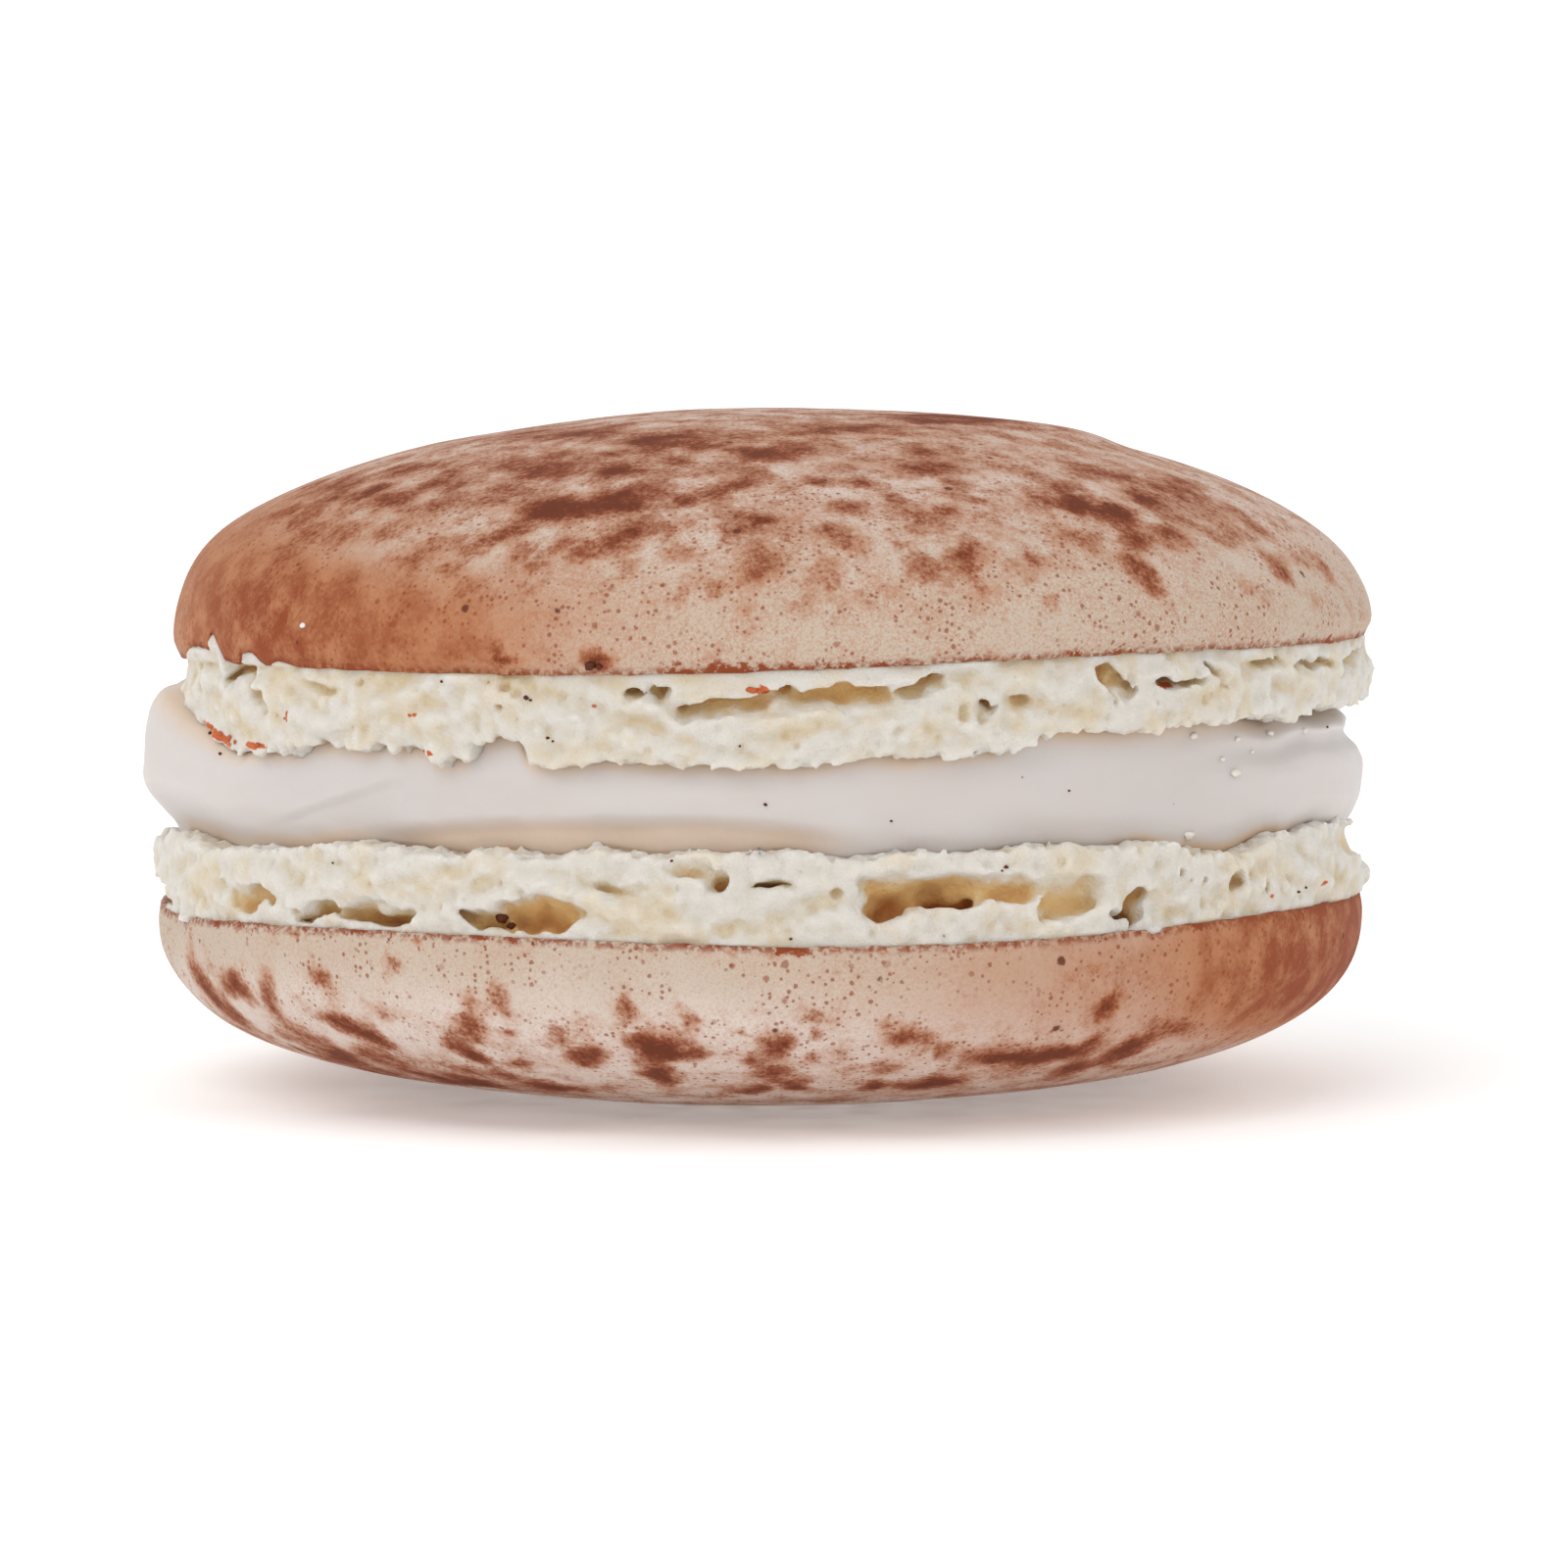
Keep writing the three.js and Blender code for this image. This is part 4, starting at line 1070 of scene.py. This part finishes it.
def shell_finish(colours, softness, sandy):
    """Baked skin, tinted and spotted with cocoa, and paler over the crown as painted sheen."""
    finish = Finish(
        "cocoa_dusted_skin", Subsurface_Weight=0.2, Subsurface_Radius=(1.0, 0.55, 0.35),
        Subsurface_Scale=0.3 * MM, Specular_IOR_Level=0.16)
    cocoa = finish.stored("cocoa")
    wash = finish.stored("wash")
    rim = finish.stored("rim")
    broad = finish.noise(3.2, 0.11, 3)
    patch = finish.noise(1.5, 0.23, 9, 0.68)
    spray = finish.noise(0.2, 0.37, 4, 0.75)
    grain = finish.noise(0.1, 0.43, 2, 0.6)
    clumps = finish.noise(2.6, 0.73, 3)
    even = wash * (0.55 + broad * 0.6 + patch * 0.5)
    soft = finish.noise(1.4, 0.47, 4, 0.55)
    halo = (cocoa + (soft - 0.5) * 3.0 + (patch - 0.5) * 1.6 + (spray - 0.5) * 1.0).ramp(-0.3, 0.95) * 0.75
    mark = cocoa * 0.75 + (soft - 0.5) * 2.1 + (patch - 0.5) * 2.6 + (spray - 0.5) * 2.2
    cover = mark.ramp(0.3, 0.3 + softness)
    thick = mark.ramp(0.9, 1.75)
    sand = (grain + clumps * 0.3 + (spray - 0.5) * 0.5).ramp(0.5, 0.85) * sandy
    cloud = (even * 0.85 + (soft - 0.5) * 2.2 + (patch - 0.5) * 1.6 + (spray - 0.5) * 1.6).ramp(0.35, 1.6)
    # Painted sheen: the skin pales from cream near the rim to a lighter tone over the crown
    colour = finish.mix((finish.stored("crown") + broad * 0.7).ramp(0.5, 1.6), colours.cream, colours.pale)
    colour = finish.mix(sand, colour, colours.wash)
    colour = finish.mix(halo, colour, colours.wash)
    colour = finish.mix(even.ramp(0.0, 1.1), colour, colours.wash)
    colour = finish.mix(cloud * wash * 0.8, colour, colours.cocoa)
    colour = finish.mix(cover * 0.85, colour, colours.cocoa)
    colour = finish.mix(thick * 0.82, colour, colours.deep)
    ragged = (spray - 0.5) * 1.5
    dust = finish.dots(0.22, 0.11, 0.61, ragged) * clumps.ramp(0.32, 0.56) * 0.75
    specks = finish.dots(0.6, 0.17, 0.67, ragged) * clumps.ramp(0.4, 0.6) * 0.65
    pins = finish.dots(1.9, 0.22, 0.51, ragged) * 0.9
    blobs = (finish.noise(0.55, 0.81, 5, 0.7) + finish.noise(3.4, 0.87, 1) * 0.5 - rim * 0.3).ramp(0.76, 0.84)
    line = rim.ramp(0.36, 0.05) * finish.noise(0.25, 0.83, 4, 0.6).ramp(0.4, 0.58) * 0.85
    border = blobs * rim.ramp(0.75, 0.3)
    spots = (dust, colours.cocoa), (specks, colours.cocoa), (line, colours.cocoa), (border, colours.cocoa)
    for share, dark in (*spots, (pins, colours.deep)):
        colour = finish.mix(share, colour, dark)
    height = cover * 0.4 + spray * (0.3 + cover * 0.5) + finish.noise(0.5, 0.9, 2) * 0.3
    return finish.finished(colour, 0.7 + cover * 0.15, height, 0.03)


def crumb_finish(colours):
    """Torn almond crumb: off-white on its crests, with painted warm shade that tints its pits and hollows
    tan.
    """
    finish = Finish(
        "torn_crumb", Subsurface_Weight=0.7, Subsurface_Radius=(0.9, 0.9, 0.85),
        Subsurface_Scale=1.3 * MM, Specular_IOR_Level=0.15)
    near = finish.stored("near")
    far = finish.stored("far")
    depth = finish.stored("depth")
    inside = finish.stored("inside")
    patch = finish.noise(1.6, 0.13, 2)
    grain = finish.noise(0.16, 0.29, 2)
    within = inside.ramp(-0.05, 0.3)
    # Painted shade: crowded pits and deep hollows are tinted tan, and the deepest hollows orange-brown
    pit_shade = (near * 0.5 + far * 0.5 + depth * 0.1 + (patch - 0.5) * 0.2).ramp(0.4, 0.76) * within
    cave_shade = (depth + (patch - 0.5) * 0.4).ramp(0.15, 1.0) * within
    deep_hollow_shade = (depth + (patch - 0.5) * 0.6).ramp(1.0, 1.9) * within
    yellow = (patch + (finish.noise(0.5, 0.71, 3) - 0.5) * 0.3).ramp(0.44, 0.7) * 0.32
    stain = finish.stored("stain")
    soaked = (stain + (finish.noise(0.25, 0.77, 4, 0.65) - 0.5) * 1.4).ramp(0.4, 0.7) * stain.ramp(0.0, 0.3)
    # Random yellow patches are the crumb's own tone; the pit tint after them is painted shade
    colour = finish.mix(yellow, colours.crumb, colours.yellow_and_pit_shade)
    colour = finish.mix(pit_shade * 0.8, colour, colours.yellow_and_pit_shade)
    colour = finish.mix(cave_shade, colour, colours.cave_shade)
    colour = finish.mix(deep_hollow_shade, colour, colours.deep_hollow_shade)
    colour = finish.mix(soaked, colour, colours.flake)
    specks = finish.dots(1.6, 0.09, 0.41) * finish.noise(4.0, 0.57).ramp(0.5, 0.6) * 0.8
    colour = finish.mix(specks, colour, colours.cocoa)
    return finish.finished(colour, 0.75, grain + finish.noise(0.4, 0.33, 5, 0.6), 0.1)


def filling_finish(colours):
    """Soft cream, smooth with a faint sheen, with painted warm shade in its fold and where the feet press on
    it.
    """
    finish = Finish(
        "soft_cream", Subsurface_Weight=0.5, Subsurface_Radius=(0.9, 0.9, 0.85),
        Subsurface_Scale=1.2 * MM, Specular_IOR_Level=0.35)
    broad = finish.noise(3.0, 0.19, 2)
    specks = finish.dots(1.9, 0.07, 0.31) * 0.5
    # Painted shade from the stored shade, plus faint random patches of beige
    colour = finish.mix(finish.stored("shade") * 0.6 + (broad - 0.42) * 0.3, colours.filling, colours.beige_tone_and_shade)
    colour = finish.mix(specks, colour, colours.cocoa)
    return finish.finished(colour, 0.5, finish.noise(0.6, 0.47, 3), 0.03)


def plain_finish(name, colour, roughness):
    """One colour with a grainy surface, for the loose bits."""
    finish = Finish(name, Specular_IOR_Level=0.25)
    grain = finish.noise(0.1, 0.17, 2)
    dark = tuple(0.8 * part for part in colour)
    return finish.finished(finish.mix(grain, colour, dark), roughness, grain, 0.03)


def link_object(name, data):
    """Puts a mesh, light or camera in the scene."""
    thing = bpy.data.objects.new(name, data)
    bpy.context.scene.collection.objects.link(thing)
    return thing


def aim_object(thing, place, target):
    """Sets a light or camera at a place and points it at a target."""
    thing.location = place
    thing.rotation_euler = (target - place).to_track_quat("-Z", "Y").to_euler()


def add_piece(name, mesh, material, node=None):
    """Puts a finished mesh in the scene as a piece that rides on the macaron."""
    mesh.name = name
    mesh.materials.append(material)
    mesh.shade_smooth()
    piece = link_object(name, mesh)
    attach(piece, "root")
    if node:
        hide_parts(node)
    return piece


def bits_mesh(places, flatness, seed):
    """Small uneven bits, each seated on the surface named for it."""
    random = np.random.default_rng(seed)
    body = bmesh.new()
    view = bpy.context.evaluated_depsgraph_get()
    surfaces = {place[0] for place in places}
    trees = {name: BVHTree.FromObject(bpy.data.objects[name], view) for name in surfaces}
    for surface, azimuth, height, radius in places:
        start = Vector(ring_point(0, azimuth, OUTSIDE_RADIUS, height))
        inward = Vector((-start.x, -start.y, 0)).normalized()
        spot, normal, _, _ = trees[surface].ray_cast(start, inward)
        if spot is None:
            raise RuntimeError(f"no {surface} at azimuth {azimuth} and height {height}")
        ball = bmesh.ops.create_icosphere(body, subdivisions=2, radius=radius * MM)["verts"]
        for vert in ball:
            vert.co *= 1 + 0.5 * (random.random() - 0.5)
        tumble = Euler(random.uniform(0, 2 * math.pi, 3)).to_matrix().to_4x4()
        seat = normal.to_track_quat("Z", "Y").to_matrix().to_4x4()
        seat.translation = spot + normal * radius * MM * 0.3 * flatness
        shape = seat @ Matrix.Diagonal((1.5 - 0.5 * flatness, 0.8, flatness, 1)) @ tumble
        bmesh.ops.transform(body, matrix=shape, verts=ball)
    return outward_mesh(body, bpy.data.meshes.new("bits"))


def floor_mesh():
    """A pale round floor that bends up into a low wall all round."""
    body = bmesh.new()
    bmesh.ops.create_circle(body, cap_ends=True, segments=96, radius=FLOOR_RADIUS)
    rim = [edge for edge in body.edges if edge.is_boundary]
    for step in range(1, FLOOR_BEND_STEPS + 1):
        bend = step / FLOOR_BEND_STEPS * math.pi / 2
        grown = bmesh.ops.extrude_edge_only(body, edges=rim)["geom"]
        rim = [item for item in grown if isinstance(item, bmesh.types.BMEdge) and item.is_boundary]
        for vert in (item for item in grown if isinstance(item, bmesh.types.BMVert)):
            reach = FLOOR_RADIUS + FLOOR_BEND * math.sin(bend)
            flat = Vector((vert.co.x, vert.co.y, 0)).normalized() * reach
            vert.co = flat + Vector((0, 0, FLOOR_BEND * (1 - math.cos(bend))))
    mesh = outward_mesh(body, bpy.data.meshes.new("floor"))
    mesh.shade_smooth()
    paper = Finish(
        "pale_paper", Roughness=0.9, Specular_IOR_Level=0.1, Base_Color=(0.96, 0.96, 0.96, 1),
        Emission_Color=(1, 1, 1, 1), Emission_Strength=0.22)
    mesh.materials.append(paper.material)
    return mesh


class MACARON_OT_foot(bpy.types.Operator):
    """Add the torn crumb foot of a shell"""

    bl_idname = "macaron.add_foot"
    bl_label = "Add Foot"

    shell: EnumProperty(
        name="Shell", description="The shell that the foot belongs to",
        items=SHELL_CHOICES)

    def execute(self, context):
        shell = SHELLS[self.shell]
        sizes = context.scene.macaron_sizes
        mesh = foot_mesh(shell, sizes.crumb_cells, sizes.crumb_roughness)
        material = crumb_finish(context.scene.macaron_colours)
        piece = add_piece(f"foot_{self.shell.lower()}", mesh, material, shell["node"])
        thinned = piece.modifiers.new("thinned", "DECIMATE")
        thinned.ratio = min(1.0, FOOT_TRIANGLES / (2 * len(mesh.polygons)))
        return {"FINISHED"}


class MACARON_OT_cap(bpy.types.Operator):
    """Add the smooth cocoa-dusted cap of a shell"""

    bl_idname = "macaron.add_cap"
    bl_label = "Add Cap"

    shell: EnumProperty(
        name="Shell", description="The shell that the cap belongs to",
        items=SHELL_CHOICES)

    def execute(self, context):
        shell = SHELLS[self.shell]
        mesh = cap_mesh(shell, context.scene.macaron_sizes.cap_turns)
        material = shell_finish(context.scene.macaron_colours, shell["softness"], shell["sandy"])
        add_piece(f"cap_{self.shell.lower()}", mesh, material, shell["node"])
        return {"FINISHED"}


class MACARON_OT_filling(bpy.types.Operator):
    """Add the soft filling between the shells"""

    bl_idname = "macaron.add_filling"
    bl_label = "Add Filling"

    def execute(self, context):
        mesh = filling_mesh(context.scene.macaron_sizes.filling_turns)
        add_piece("filling_cream", mesh, filling_finish(context.scene.macaron_colours), "filling")
        return {"FINISHED"}


class MACARON_OT_bits(bpy.types.Operator):
    """Add cocoa grains, flakes and white crumbs that lie on the feet, caps and filling"""

    bl_idname = "macaron.add_bits"
    bl_label = "Add Loose Bits"

    def execute(self, context):
        colours = context.scene.macaron_colours
        for name, places, flatness, seed, colour, slot in (
            ("cocoa_grains", COCOA_GRAINS, 1.0, 3, colours.deep, "cocoa"),
            ("cocoa_flakes", COCOA_FLAKES, 0.35, 5, colours.flake, "cocoa"),
            ("white_crumbs", WHITE_CRUMBS, 0.6, 7, colours.white, "crumb"),
        ):
            add_piece(name, bits_mesh(places, flatness, seed), plain_finish(name, colour, 0.65))
        return {"FINISHED"}


class MACARON_OT_stage(bpy.types.Operator):
    """Add the pale floor, the soft light and the camera"""

    bl_idname = "macaron.add_stage"
    bl_label = "Add Stage"

    def execute(self, context):
        scene = context.scene
        stage = scene.macaron_stage
        link_object("floor", floor_mesh())
        world = bpy.data.worlds.new("soft_surround")
        world.use_nodes = True
        background = world.node_tree.nodes["Background"].inputs
        background["Color"].default_value = (1, 1, 1, 1)
        background["Strength"].default_value = stage.surround
        scene.world = world
        for name, place, power in (
            ("key", KEY_PLACE, stage.key_light),
            ("fill", FILL_PLACE, stage.fill_light),
        ):
            light = link_object(name, bpy.data.lights.new(name, "AREA"))
            light.data.shape = "DISK"
            light.data.size = LIGHT_SIZE
            light.data.energy = power
            aim_object(light, Vector(place), Vector(LIGHT_TARGET))
        camera = link_object("camera", bpy.data.cameras.new("camera"))
        camera.data.sensor_width = SENSOR_WIDTH
        camera.data.lens = stage.lens
        camera.data.clip_start = NEAREST_SEEN
        place = Vector((LOWER["axis_x"] * MM, -stage.distance, stage.camera_height))
        aim_object(camera, place, Vector(((LOWER["axis_x"] + AIM_RIGHT) * MM, 0, AIM_Z * MM)))
        scene.camera = camera
        scene.view_settings.view_transform = "Standard"
        return {"FINISHED"}


class MACARON_PT_panel(bpy.types.Panel):
    """Lists the steps that build the macaron"""

    bl_idname = "MACARON_PT_panel"
    bl_label = "Cocoa Macaron"
    bl_space_type = "VIEW_3D"
    bl_region_type = "UI"
    bl_category = "Macaron"

    def draw(self, context):
        layout = self.layout
        scene = context.scene
        for group in (scene.macaron_sizes, scene.macaron_colours, scene.macaron_stage):
            for name in group.bl_rna.properties.keys():
                if name not in ("rna_type", "name"):
                    layout.prop(group, name)
        for shell in SHELLS:
            layout.operator(MACARON_OT_foot.bl_idname, text=f"Add {shell.title()} Foot").shell = shell
            layout.operator(MACARON_OT_cap.bl_idname, text=f"Add {shell.title()} Cap").shell = shell
        for step in (MACARON_OT_filling, MACARON_OT_bits, MACARON_OT_stage):
            layout.operator(step.bl_idname)


CLASSES = (
    MacaronSizes,
    MacaronColours,
    MacaronStage,
    MACARON_OT_foot,
    MACARON_OT_cap,
    MACARON_OT_filling,
    MACARON_OT_bits,
    MACARON_OT_stage,
    MACARON_PT_panel,
)


def register():
    for kind in CLASSES:
        bpy.utils.register_class(kind)
    bpy.types.Scene.macaron_sizes = PointerProperty(type=MacaronSizes)
    bpy.types.Scene.macaron_colours = PointerProperty(type=MacaronColours)
    bpy.types.Scene.macaron_stage = PointerProperty(type=MacaronStage)


def unregister():
    del bpy.types.Scene.macaron_stage
    del bpy.types.Scene.macaron_colours
    del bpy.types.Scene.macaron_sizes
    for kind in reversed(CLASSES):
        bpy.utils.unregister_class(kind)


def main():
    register()
    for shell in SHELLS:
        bpy.ops.macaron.add_foot(shell=shell)
        bpy.ops.macaron.add_cap(shell=shell)
    bpy.ops.macaron.add_filling()
    bpy.ops.macaron.add_bits()
    bpy.ops.macaron.add_stage()


if __name__ == "__main__":
    main()
